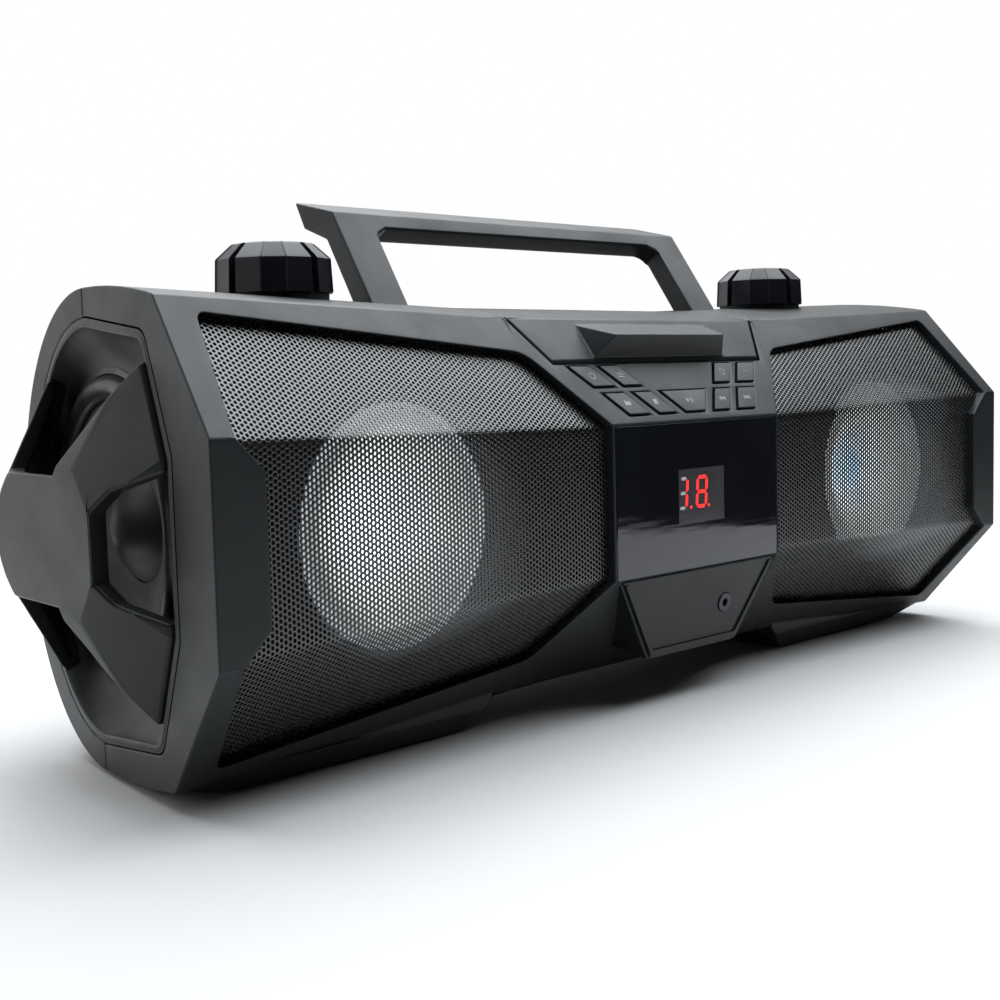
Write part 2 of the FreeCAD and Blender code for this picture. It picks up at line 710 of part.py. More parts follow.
def disc_hub():
    """The turntable that holds the disc: a flange, a centring boss and its spindle."""
    z = WELL_FLOOR_Z
    hub = Part.makeCylinder(15, 1.6, V(0, DISC_Y, z + 0.6))
    hub = hub.fuse(Part.makeCylinder(7.4, 4.4, V(0, DISC_Y, z + 0.6)))
    hub = hub.fuse(Part.makeCylinder(1.0, 14, V(0, DISC_Y, z - 12)))
    return hub


def spindle_motor():
    z = WELL_FLOOR_Z
    can = Part.makeCylinder(12, 12, V(0, DISC_Y, z - 22))
    plate = box(-17, 17, DISC_Y - 14, DISC_Y + 14, z - 10, z - 8.5)
    motor = can.fuse(plate)
    return motor.cut(Part.makeCylinder(1.05, 40, V(0, DISC_Y, z - 16)))


def laser_sled():
    z = WELL_FLOOR_Z
    block = box(21, 37, DISC_Y - 9, DISC_Y + 9, z - 12, z - 4)
    lens = Part.makeCylinder(4, 5, V(29, DISC_Y, z - 5))
    sled = block.fuse(lens)
    for side in (-1, 1):
        rod = Part.makeCylinder(1.55, 200, V(-50, DISC_Y + side * 6.5, z - 8), V(1, 0, 0))
        sled = sled.cut(rod)
    return sled


def sled_rods():
    z = WELL_FLOOR_Z
    return Part.makeCompound([
        Part.makeCylinder(1.5, 49, V(19.5, DISC_Y + side * 6.5, z - 8), V(1, 0, 0))
        for side in (-1, 1)])


# ---------------------------------------------------------------- controls
def key(corners):
    return on_facet(corners, 0, -KEY_DEEP, KEY_PROUD)


def key_board():
    """The switch board behind the keys, with one tact switch under each key."""
    reach = [(-70.0, KEY_ROW_HIGH[1] + 1), (70.0, KEY_ROW_HIGH[1] + 1),
             (60.0, KEY_ROW_LOW[0] - 1), (-60.0, KEY_ROW_LOW[0] - 1)]
    front, back = -KEY_DEEP - KEY_TRAVEL - 1.5, -KEY_DEEP - KEY_TRAVEL - 2.7
    board = keep_largest(on_facet(reach, 0, back, front).cut(tray_space()))
    parts = [board]
    for corners in key_shapes().values():
        x = sum(p[0] for p in corners) / 4
        s = sum(p[1] for p in corners) / 4
        size = 2.6
        square = [(x - size, s + size), (x + size, s + size), (x + size, s - size),
                  (x - size, s - size)]
        parts.append(on_facet(square, 0, front, -KEY_DEEP - KEY_TRAVEL - 0.3))
    return Part.makeCompound(parts)


def knob():
    """One knob, right-hand side: fluted skirt, bevelled top and a stem for its control."""
    x, y = KNOB_X, KNOB_Y
    shoulder = KNOB_SHOULDER_Z - KNOB_BASE_Z
    body = Part.makeCone(KNOB_R, KNOB_SHOULDER_R, shoulder, V(x, y, KNOB_BASE_Z))
    body = body.fuse(Part.makeCone(KNOB_SHOULDER_R, KNOB_TOP_R, KNOB_TOP_Z - KNOB_SHOULDER_Z,
                                   V(x, y, KNOB_SHOULDER_Z)))
    for i in range(KNOB_FLUTES):
        angle = 360.0 * i / KNOB_FLUTES
        groove = box(KNOB_R - 2.2, KNOB_R + 3, -1.1, 1.1, KNOB_BASE_Z - 1, KNOB_SHOULDER_Z + 3)
        groove.rotate(V(0, 0, 0), V(0, 0, 1), angle)
        groove.translate(V(x, y, 0))
        body = body.cut(groove)
    stem = Part.makeCylinder(STEM_R, KNOB_BASE_Z - 168, V(x, y, 168))
    return body.fuse(stem)


def control_pot():
    """The rotary control under a knob, with a plain bore for the knob's stem."""
    x, y = KNOB_X, KNOB_Y
    can = Part.makeCylinder(9.0, 10, V(x, y, 164))
    bush = Part.makeCylinder(STEM_R + 1.4, 9, V(x, y, 174))
    bore = Part.makeCylinder(STEM_R + STEM_FIT, 40, V(x, y, 167.5))
    return can.fuse(bush).cut(bore)


def display_window():
    half = DISPLAY_HALF
    y = CENTRE_SECTION[0]
    return box(-half, half, y, y + DISPLAY_THICK - 0.2, DISPLAY_Z[0] + 0.2, DISPLAY_Z[1] - 0.3)


def display_board():
    """The board behind the display window with its two-digit lamp block."""
    y = CENTRE_SECTION[0] + DISPLAY_THICK
    block = box(-WINDOW_HALF, WINDOW_HALF, y + 0.4, y + 8.4, *WINDOW_Z)
    board = box(-38, 38, y + 8.4, y + 10.0, 70, 117)
    return block.fuse(board)


def socket_panel():
    return chin_block(0, CHIN_THICK - 0.2, 2.5).cut(jack_bore(4.6))


def jack_axis():
    points = chin()
    n = (points[1] - points[0]).cross(points[3] - points[0])
    n.normalize()
    inward = n if n.y > 0 else n * -1
    top, low = points[0], points[1]
    part = (JACK_Z - low.z) / (top.z - low.z)
    centre = V(JACK_X, low.y + part * (top.y - low.y), JACK_Z)
    return centre, inward


def jack_bore(radius):
    centre, inward = jack_axis()
    return Part.makeCylinder(radius, 40, centre - inward * 10, inward)


def audio_jack():
    centre, inward = jack_axis()
    ring = Part.makeCylinder(4.5, 3.6, centre - inward * 0.6, inward)
    body = Part.makeCylinder(5.2, 13, centre + inward * 3.0, inward)
    hole = Part.makeCylinder(JACK_R, 14, centre - inward * 2.0, inward)
    return ring.fuse(body).cut(hole)


# ---------------------------------------------------------------- handle
def handle():
    """The carrying handle: two leaning legs and a wedge-shaped bar, one moulding."""
    bar_points = HANDLE_FRONT[1:] + HANDLE_REAR[:3]
    bar = side_prism(bar_points, -HANDLE_OUTER, HANDLE_OUTER)
    slope = (HANDLE_FRONT[1][0] - HANDLE_FRONT[0][0]) / (HANDLE_FRONT[1][1]
                                                        - HANDLE_FRONT[0][1])
    drop = HANDLE_FRONT[0][1] - HANDLE_FOOT_Z

    def leg_ring(y_front, y_rear, z_front, z_rear, flare):
        return Part.makePolygon([
            V(HANDLE_INNER + flare, y_front, z_front), V(HANDLE_OUTER + flare, y_front, z_front),
            V(HANDLE_OUTER + flare, y_rear, z_rear), V(HANDLE_INNER + flare, y_rear, z_rear),
            V(HANDLE_INNER + flare, y_front, z_front)])

    top = leg_ring(HANDLE_FRONT[2][0], HANDLE_REAR[2][0], HANDLE_FRONT[2][1], HANDLE_REAR[2][1],
                   0)
    foot_ring = leg_ring(HANDLE_FRONT[0][0] - slope * drop, HANDLE_REAR[3][0] - slope * drop,
                         HANDLE_FOOT_Z, HANDLE_REAR[3][1] - drop, HANDLE_FLARE)
    leg = Part.makeLoft([foot_ring, top], True, True)
    y_low, z_low = HANDLE_REAR[2]
    gusset = corner_gusset(GUSSET_REACH, y_low, z_low)
    return bar.fuse(leg).fuse(mirrored(leg)).fuse(gusset).fuse(mirrored(gusset))


def corner_gusset(reach, y_low, z_low):
    """The corner fillet between the bar's underside and a leg, as a small wedge."""
    x = HANDLE_INNER
    y0, z0 = HANDLE_FRONT[1]
    lean = (HANDLE_REAR[2][0] - HANDLE_REAR[3][0]) / (HANDLE_REAR[2][1] - HANDLE_REAR[3][1])
    drop = reach * GUSSET_DROP

    def face(px, y_front, z_front, y_back, z_back):
        return [V(px, y_front, z_front), V(px, y_back, z_back)]

    a = face(x + 1, y0, z0, y_low, z_low)
    b = face(x - reach, y0, z0, y_low, z_low)
    c = face(x + 1, y0 - lean * drop, z0 - drop, y_low - lean * drop, z_low - drop)
    front = [a[0], b[0], c[0]]
    back = [a[1], b[1], c[1]]
    return Part.makeLoft([Part.makePolygon(front + front[:1]),
                          Part.makePolygon(back + back[:1])], True, True)


# ---------------------------------------------------------------- back and inside
def battery_pivot():
    """y and z of the battery door's hinge axis, inside its lower edge."""
    z = BATTERY_Z[0] + DOOR_EDGE_R
    return back_y(z) - DOOR_EDGE_R, z


def battery_door(rear_skin):
    """A piece of the back, with its lower edge rounded about the hinge axis."""
    y, z = battery_pivot()
    panel = rear_skin.common(battery_opening(0))
    panel = panel.cut(box(-BATTERY_HALF - 1, BATTERY_HALF + 1, 0, 120, 0, z))
    edge = Part.makeCylinder(DOOR_EDGE_R, 2 * BATTERY_HALF, V(-BATTERY_HALF, y, z), V(1, 0, 0))
    return keep_largest(panel.fuse(edge))


def battery_case():
    """The open-backed box for the cells behind the battery door."""
    z0, z1 = BATTERY_Z
    y0, y1 = 22.0, 76.0
    outer = box(-BATTERY_HALF + 2, BATTERY_HALF - 2, y0, y1, z0 + 4, z1 - 4)
    hollow = box(-BATTERY_HALF + 4, BATTERY_HALF - 4, y0 + 2, y1 + 1, z0 + 6, z1 - 6)
    return outer.cut(hollow)


def power_inlet():
    """The two-pin mains inlet in the back, with an open socket."""
    y = back_y(INLET_Z)
    outer = box(INLET_X - 12.3, INLET_X + 12.3, y - 22, y - 1.5, INLET_Z - 8.8, INLET_Z + 8.8)
    hollow = box(INLET_X - 9, INLET_X + 9, y - 18, y + 1, INLET_Z - 4.2, INLET_Z + 4.2)
    pins = [Part.makeCylinder(1.2, 12, V(INLET_X + side * 4.3, y - 18.5, INLET_Z), V(0, 1, 0))
            for side in (-1, 1)]
    return outer.cut(hollow).fuse(pins[0]).fuse(pins[1])


def aerial_y():
    return SEAM_Y + at(REAR_DEPTH, AERIAL_X) - 3.4


def aerial_mount():
    """The block on the back that holds the foot of the aerial."""
    y = aerial_y()
    block = box(AERIAL_X - 8, AERIAL_X + 8, y - 26, y - 4.2, AERIAL_Z - 8, AERIAL_Z + 8)
    block = block.cut(envelope(0))
    pin = Part.makeCylinder(2.0, 8.2, V(AERIAL_X, y - 5, AERIAL_Z), V(0, 1, 0))
    return block.fuse(pin)


def aerial():
    """The telescopic aerial, folded flat along the back, built along -X from its foot."""
    y = aerial_y()
    foot_part = Part.makeCylinder(6.0, 7.4, V(AERIAL_X, y - 3.8, AERIAL_Z), V(0, 1, 0))
    bore = Part.makeCylinder(2.05, 20, V(AERIAL_X, y - 10, AERIAL_Z), V(0, 1, 0))
    rod = foot_part
    lengths = (0.34, 0.34, 0.28)
    x = AERIAL_X - 4
    for i, part in enumerate(lengths):
        length = AERIAL_LENGTH * part
        rod = rod.fuse(Part.makeCylinder(AERIAL_R - 0.5 * i, length, V(x, y, AERIAL_Z),
                                         V(-1, 0, 0)))
        x -= length
    rod = rod.fuse(Part.makeCylinder(AERIAL_R, 9, V(x, y, AERIAL_Z), V(-1, 0, 0)))
    return rod.cut(bore)


def main_board():
    board = box(-84, 84, -40, 8, 40, 41.6)
    heat_sink = box(-30, 30, -20, -8, 41.6, 66)
    capacitors = [Part.makeCylinder(6, 20, V(x, 0, 41.6)) for x in (-60, -44, 44, 60)]
    return Part.makeCompound([board, heat_sink] + capacitors)


# ---------------------------------------------------------------- build
def build():
    whole = shell()
    front = keep_largest(front_cabinet(whole))
    rear = rear_cabinet(whole)
    skin = whole.common(box(-320, 320, SEAM_Y, 200, -50, 300))
    nodes = {"front_cabinet": front, "rear_cabinet": keep_largest(rear)}
    nodes["battery_door"] = battery_door(skin)
    nodes["battery_case"] = battery_case()
    sided = {"grille": grille(), "end_guard": end_guard(), "control": control_pot()}
    for name, shape in driver_parts().items():
        sided[name] = placed_driver(shape)
    sided.update(radiator_parts())
    for name, shape in sided.items():
        nodes[name + "_right"] = shape
        nodes[name + "_left"] = mirrored(shape)
    nodes["tuning_knob"] = knob()
    nodes["volume_knob"] = mirrored(knob())
    nodes["cd_lid"] = cd_lid()
    nodes["lid_hinge_pins"] = hinge_pins()
    nodes["cd_well"] = cd_well()
    nodes["disc_hub"] = disc_hub()
    nodes["spindle_motor"] = spindle_motor()
    nodes["laser_sled"] = laser_sled()
    nodes["sled_rods"] = sled_rods()
    for name, corners in key_shapes().items():
        nodes[name] = key(corners)
    nodes["key_board"] = key_board()
    nodes["display_window"] = display_window()
    nodes["display_board"] = display_board()
    nodes["socket_panel"] = socket_panel()
    nodes["audio_jack"] = audio_jack()
    nodes["handle"] = handle()
    nodes["foot_pads"] = foot_pads()
    nodes["cabinet_screws"] = Part.makeCompound([screw(x, z) for x, z in screw_places()])
    nodes["power_inlet"] = power_inlet()
    nodes["aerial_mount"] = aerial_mount()
    nodes["aerial"] = aerial()
    nodes["main_board"] = main_board()
    return nodes


os.makedirs("parts", exist_ok=True)
for node_name, node_shape in build().items():
    node_shape.exportStep(f"parts/{node_name}.step")
    bb = node_shape.BoundBox
    print(f"{node_name:24s} solids {len(node_shape.Solids)} valid {node_shape.isValid()} "
          f"vol {node_shape.Volume / 1000:9.2f} cm3  x {bb.XMin:.1f} {bb.XMax:.1f}  "
          f"y {bb.YMin:.1f} {bb.YMax:.1f}  z {bb.ZMin:.1f} {bb.ZMax:.1f}")
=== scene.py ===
"""A portable boombox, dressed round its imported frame. Lengths are in mm until a mesh is made."""

import math

import bmesh
import bpy
import numpy as np
from bpy.props import FloatProperty, FloatVectorProperty, IntProperty, PointerProperty
from mathutils import Matrix, Vector
from mathutils.bvhtree import BVHTree


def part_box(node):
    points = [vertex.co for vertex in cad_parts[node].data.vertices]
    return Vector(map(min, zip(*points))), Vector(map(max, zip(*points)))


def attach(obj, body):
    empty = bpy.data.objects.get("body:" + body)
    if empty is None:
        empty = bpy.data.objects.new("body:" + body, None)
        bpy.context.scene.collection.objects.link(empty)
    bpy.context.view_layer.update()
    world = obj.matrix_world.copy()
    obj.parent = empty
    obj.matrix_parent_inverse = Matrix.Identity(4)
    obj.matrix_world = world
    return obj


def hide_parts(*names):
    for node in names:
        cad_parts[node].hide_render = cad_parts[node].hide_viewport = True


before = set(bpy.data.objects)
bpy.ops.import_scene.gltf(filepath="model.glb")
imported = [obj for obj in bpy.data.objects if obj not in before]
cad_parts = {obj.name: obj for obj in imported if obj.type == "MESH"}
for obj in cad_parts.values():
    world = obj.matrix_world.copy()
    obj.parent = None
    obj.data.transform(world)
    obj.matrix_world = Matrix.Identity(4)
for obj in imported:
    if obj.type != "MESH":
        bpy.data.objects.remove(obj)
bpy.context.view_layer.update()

bl_info = {
    "name": "Boombox",
    "version": (1, 0, 0),
    "blender": (4, 5, 0),
    "location": "View3D > Sidebar > Boombox",
    "description": "Builds the visible pieces of a portable boombox round its packed frame",
    "category": "Add Mesh",
}

MM = 0.001
FLOOR_R = 0.75             # metres
EYE = (-0.50968, -0.48025, 0.15172)      # metres
EYE_TURN = (44.011, 5.197, -1.487)       # yaw, pitch and roll in degrees
LENS = 50.87
SENSOR = 36.0
SIDES = {"right": 1, "left": -1}

# cabinet section, as the value at the middle and its growth per mm towards the ends
MID_Z = 94.3
FRONT_FLAT_Y = (-82.15, -0.0398)
FRONT_FLAT_HALF = (32.0, 0.0239)
EDGE_Y = (-45.9, -0.0241)
EDGE_HALF = (76.85, 0.0392)
CENTRE_FRONT_Y = -84.5
CENTRE_FLAT_HALF = 33.4
CENTRE_EDGE = (-48.8, 79.8)
OPENING_UPPER = [(59.8, 33.4), (88.2, 65.1), (243.0, 80.7), (252.7, 38.3), (241.0, 26.4)]
OPENING_RADII = [3.0, 16.0, 4.0, 0.0, 0.0]
MESH_DEPTH = 4.0
END_X = (259.0, -61.5, 0.138)

DRIVER_X = 168.0
DRIVER_DEPTH = 21.0
DRIVER_R = 45.6
RADIATOR_Y = 13.5
RADIATOR_R = 62.0
RADIATOR_RECESS = 11.6
END_OPENING = [(12.1, 81.5), (-42.9, 74.7), (-61.9, 31.6)]
END_RADII = [0.0, 8.0, 5.0]
END_OPENING_REAR = 66.0
LIP_WIDTH = 3.6

KNOB_PLACE = (168.2, 3.1)
KNOB_BASE_Z = 185.6
KNOB_SHOULDER_Z = 199.7
KNOB_TOP_Z = 205.8
KNOB_R = 24.0
KNOB_TOP_R = 15.6
KNOB_SHADED_SEAT = (22.4, 182.5, 185.3)     # radius, foot and top of the dark collar below a knob, whose darkness is painted shade

KEY_PROUD = 0.7
WINDOW_HALF = 16.5
WINDOW_Z = (81.5, 106.0)
DIGIT_HALF = 6.6           # half the height of a digit
DIGIT_RISE = 1.5           # the digits sit this far above the window's middle
CHIN_TOP = (-84.5, 59.8)
CHIN_LOW = (-78.0, 22.0)
CHIN_HALF = (57.4, 32.4)
BACK = (13.5, 75.9, 87.3)  # parting plane, depth behind it and half height at the middle
SCREW_X = (-203.0, -95.0, 95.0, 203.0)
SCREW_Z = (48.0, 140.6)
AERIAL_FOOT = (196.0, 88.128, 150.0)
SCREW_SINK = 3.8           # the heads lie this far below the back
STRAY = 0.45               # a rounded edge stays this share of its width from the old surface


# ---------------- sizes and colours a user may change
def length(name, about, default, low, high):
    return FloatProperty(name=name, description=about, subtype="DISTANCE", unit="LENGTH",
                         default=default, min=low, max=high)


def colour_of(name, about, default):
    return FloatVectorProperty(name=name, description=about, subtype="COLOR", default=default,
                               min=0.0, max=1.0)


def power(name, about, default):
    return FloatProperty(name=name, description=about, subtype="POWER", unit="POWER",
                         default=default, min=0.0)


class BoomboxFinish(bpy.types.PropertyGroup):
    """Colours and surface finish of the mouldings."""

    shell: colour_of("Shell", "Colour of the cabinet mouldings", (0.0095, 0.0118, 0.0135))
    knob: colour_of("Knob", "Colour of the two knobs", (0.008, 0.009, 0.013))
    mesh: colour_of("Mesh", "Colour of the painted speaker mesh", (0.0115, 0.0122, 0.0130))
    digits: colour_of("Digits", "Colour of the lit digits", (1.0, 0.02, 0.015))
    # Sets the lamps round the cones and also the painted glow on the cones, surrounds and caps.
    glow: FloatProperty(
        name="Speaker glow", description="Brightness of the lamps round the cones",
        default=1.5, min=0.0, max=5.0)


class BoomboxMesh(bpy.types.PropertyGroup):
    """The perforation of the speaker mesh."""

    pitch: length("Pitch", "Distance between neighbouring holes", 0.00217, 0.001, 0.006)
    hole: length("Hole", "Width of a hole across its corners", 0.00158, 0.0005, 0.005)
    sheet: length("Sheet", "Thickness of the steel sheet", 0.0007, 0.0002, 0.0016)


class BoomboxEdges(bpy.types.PropertyGroup):
    """How far the edges of the mouldings are rounded."""

    cabinet: length("Cabinet edges", "Rounding of the cabinet's edges", 0.0009, 0.0001, 0.003)
    guard: length("Guard edges", "Rounding of the end guards' edges", 0.0011, 0.0001, 0.003)
    steps: IntProperty(
        name="Steps", description="Facets across a rounded edge", default=3, min=1, max=6)


class BoomboxStage(bpy.types.PropertyGroup):
    """Light on the stage."""

    overhead: power("Overhead", "Power of the softbox above", 64.0)
    side: power("Side", "Power of the softbox at the side", 3.6)
    surround: FloatProperty(
        name="Surround", description="Brightness of the white surround", default=1.0, min=0.0)


def finish_of():
    return bpy.context.scene.boombox_finish


def edges_of():
    return bpy.context.scene.boombox_edges


# ---------------- materials
def set_range(node, *levels):
    """The From Min, From Max, To Min and To Max of a map range node."""
    for socket, level in zip(node.inputs[1:5], levels):
        socket.default_value = level


class Recipe:
    """A node material under construction, with a surface shader ready to be fed."""

    def __init__(self, name):
        self.material = bpy.data.materials.new(name)
        self.material.use_nodes = True
        self.tree = self.material.node_tree
        self.shader = self.tree.nodes["Principled BSDF"]
        self.place = self.add("ShaderNodeTexCoord").outputs["Object"]

    def add(self, kind, **settings):
        node = self.tree.nodes.new(kind)
        for key, value in settings.items():
            setattr(node, key, value)
        return node

    def link(self, output, socket):
        self.tree.links.new(output, socket)

    def noise(self, scale, detail=3.0, rough=0.55):
        node = self.add("ShaderNodeTexNoise")
        node.inputs["Scale"].default_value = scale
        node.inputs["Detail"].default_value = detail
        node.inputs["Roughness"].default_value = rough
        self.link(self.place, node.inputs["Vector"])
        return node.outputs["Fac"]

    def span(self, value, low, high, start=0.0, end=1.0):
        """Maps value from start..end onto low..high."""
        node = self.add("ShaderNodeMapRange")
        self.link(value, node.inputs["Value"])
        set_range(node, start, end, low, high)
        return node.outputs["Result"]

    def mix(self, amount, first, second):
        node = self.add("ShaderNodeMix", data_type="RGBA")
        self.link(amount, node.inputs["Factor"])
        for socket, value in ((node.inputs[6], first), (node.inputs[7], second)):
            if isinstance(value, bpy.types.NodeSocket):
                self.link(value, socket)
            else:
                socket.default_value = (*value[:3], 1.0)
        return node.outputs[2]

    def sums(self, kind, first, second):
        node = self.add("ShaderNodeMath", operation=kind)
        for socket, value in zip(node.inputs, (first, second)):
            if isinstance(value, bpy.types.NodeSocket):
                self.link(value, socket)
            else:
                socket.default_value = value
        return node.outputs[0]

    def worn_and_highlit_edges(self, radius, reach=0.16):
        """1 on the edges and 0 elsewhere, broken up by scuffs: a mask for rubbed wear and for a
        painted edge highlight.
        """
        rounded = self.add("ShaderNodeBevel", samples=4)
        rounded.inputs["Radius"].default_value = radius
        plain = self.add("ShaderNodeNewGeometry")
        turn = self.add("ShaderNodeVectorMath", operation="DOT_PRODUCT")
        self.link(rounded.outputs["Normal"], turn.inputs[0])
        self.link(plain.outputs["Normal"], turn.inputs[1])
        edge = self.span(turn.outputs["Value"], 1.0, 0.0, 1.0 - reach, 1.0)
        scuff = self.span(self.noise(420.0, 4.0), 0.25, 1.0, 0.35, 0.65)
        return self.sums("MULTIPLY", edge, scuff)

    def bump(self, height, strength, distance):
        node = self.add("ShaderNodeBump")
        node.inputs["Strength"].default_value = strength
        node.inputs["Distance"].default_value = distance
        self.link(height, node.inputs["Height"])
        self.link(node.outputs["Normal"], self.shader.inputs["Normal"])

    def tint(self, noise, first, second, start=0.3, end=0.7):
        """Lets the base colour drift between two tones."""
        tone = self.span(noise, 0.0, 1.0, start, end)
        self.link(self.mix(tone, first, second), self.shader.inputs["Base Color"])

    def roughen(self, noise, low, high, start=0.3, end=0.7):
        self.link(self.span(noise, low, high, start, end), self.shader.inputs["Roughness"])

    def set(self, **values):
        for key, value in values.items():
            self.shader.inputs[key.replace("_", " ")].default_value = value


def shade(colour, factor):
    return tuple(min(1.0, part * factor) for part in colour)


def satin(name, colour, rough=0.42, wear_and_highlight=2.2):
    """Fine-textured moulded plastic, a little paler along its edges, as rubbed wear and as a painted
    highlight.
    """
    recipe = Recipe(name)
    cloud = recipe.span(recipe.noise(14.0), 0.0, 1.0, 0.3, 0.7)
    base = recipe.mix(cloud, shade(colour, 0.92), shade(colour, 1.1))
    rubbed_and_highlit = recipe.worn_and_highlit_edges(0.0011)
    # The paler edges are partly rubbed wear and partly a painted highlight.
    recipe.link(recipe.mix(rubbed_and_highlit, base, shade(colour, wear_and_highlight)), recipe.shader.inputs["Base Color"])
    recipe.roughen(recipe.noise(38.0, 5.0, 0.65), rough - 0.05, rough + 0.07)
    recipe.bump(recipe.noise(2600.0, 2.0), 0.35, 0.00004)
    recipe.set(IOR=1.43)
    return recipe.material


def painted_mesh(colour):
    recipe = Recipe("mesh_paint")
    recipe.tint(recipe.noise(60.0), shade(colour, 0.85), shade(colour, 1.25), 0.35, 0.65)
    recipe.roughen(recipe.noise(900.0), 0.22, 0.34)
    recipe.bump(recipe.noise(5200.0, 2.0), 0.25, 0.00002)
    recipe.set(IOR=1.85)
    return recipe.material


def gloss(name, colour, rough=0.05):
    """Polished acrylic with the faintest ripple and a few wiping marks."""
    recipe = Recipe(name)
    recipe.tint(recipe.noise(22.0), colour, shade(colour, 1.5))
    recipe.roughen(recipe.noise(70.0, 6.0, 0.7), rough, rough + 0.06, 0.45, 0.75)
    stretch = recipe.add("ShaderNodeMapping")
    stretch.inputs["Scale"].default_value = (14.0, 14.0, 95.0)
    recipe.link(recipe.place, stretch.inputs["Vector"])
    ripple = recipe.add("ShaderNodeTexNoise")
    ripple.inputs["Scale"].default_value = 1.6
    recipe.link(stretch.outputs["Vector"], ripple.inputs["Vector"])
    recipe.bump(ripple.outputs["Fac"], 0.12, 0.0005)
    recipe.set(IOR=1.5, Coat_Weight=0.6, Coat_Roughness=0.03)
    return recipe.material


def rubber(name, colour, rough=0.5):
    recipe = Recipe(name)
    recipe.tint(recipe.noise(45.0), colour, shade(colour, 1.5))
    recipe.roughen(recipe.noise(130.0, 4.0), rough - 0.09, rough + 0.1)
    recipe.bump(recipe.noise(1700.0), 0.3, 0.00004)
    recipe.set(Sheen_Weight=0.08)
    return recipe.material


def metal(name, colour, rough=0.3):
    """Drawn or plated steel with fine marks."""
    recipe = Recipe(name)
    recipe.tint(recipe.noise(120.0, 4.0), shade(colour, 0.8), colour, 0.35, 0.65)
    recipe.roughen(recipe.noise(600.0, 4.0), rough - 0.08, rough + 0.12)
    recipe.bump(recipe.noise(2400.0, 2.0), 0.15, 0.00002)
    recipe.set(Metallic=1.0)
    return recipe.material


def lit_cone(name, glow, heart, centre):
    """Pressed paper with the light of the lamps round its rim painted on as a glow, brightest and
    coolest at its heart.
    """
    recipe = Recipe(name)
    recipe.link(recipe.mix(recipe.noise(260.0, 5.0), (0.30, 0.31, 0.32), (0.50, 0.51, 0.52)),
                recipe.shader.inputs["Base Color"])
    away = recipe.add("ShaderNodeVectorMath", operation="DISTANCE")
    recipe.link(recipe.place, away.inputs[0])
    away.inputs[1].default_value = tuple(part * MM for part in centre)
    near = recipe.span(away.outputs["Value"], 1.0, 0.0, 0.004, 0.026)
    recipe.link(recipe.mix(near, (0.84, 0.87, 0.87), heart), recipe.shader.inputs["Emission Color"])
    # Painted glow: strongest at the heart and fading towards the rim, in random patches.
    falloff = recipe.span(away.outputs["Value"], glow * 2.3, glow * 0.42, 0.0, 0.046)
    patch = recipe.span(recipe.noise(26.0, 2.0), 0.75, 1.2, 0.3, 0.7)
    recipe.link(recipe.sums("MULTIPLY", falloff, patch), recipe.shader.inputs["Emission Strength"])
    recipe.bump(recipe.noise(900.0, 4.0), 0.4, 0.00008)
    recipe.set(Roughness=0.7)
    return recipe.material


def lamp(name, colour, strength):
    recipe = Recipe(name)
    tone = recipe.span(recipe.noise(300.0), 0.85, 1.1, 0.3, 0.7)
    recipe.link(recipe.mix(tone, shade(colour, 0.7), colour), recipe.shader.inputs["Base Color"])
    recipe.link(recipe.sums("MULTIPLY", tone, strength), recipe.shader.inputs["Emission Strength"])
    recipe.set(Emission_Color=(*colour, 1.0), Roughness=0.4)
    return recipe.material


def circuit_board():
    """Green solder mask over copper tracks."""
    recipe = Recipe("board_green")
    tracks = recipe.add("ShaderNodeTexBrick")
    tracks.inputs["Scale"].default_value = 260.0
    tracks.inputs["Color1"].default_value = (0.010, 0.075, 0.030, 1.0)
    tracks.inputs["Color2"].default_value = (0.014, 0.100, 0.042, 1.0)
    tracks.inputs["Mortar"].default_value = (0.028, 0.170, 0.070, 1.0)
    recipe.link(recipe.place, tracks.inputs["Vector"])
    recipe.link(tracks.outputs["Color"], recipe.shader.inputs["Base Color"])
    recipe.link(recipe.span(recipe.noise(400.0), 0.28, 0.42), recipe.shader.inputs["Roughness"])
    recipe.bump(tracks.outputs["Fac"], 0.2, 0.00004)
    return recipe.material


_made = {}


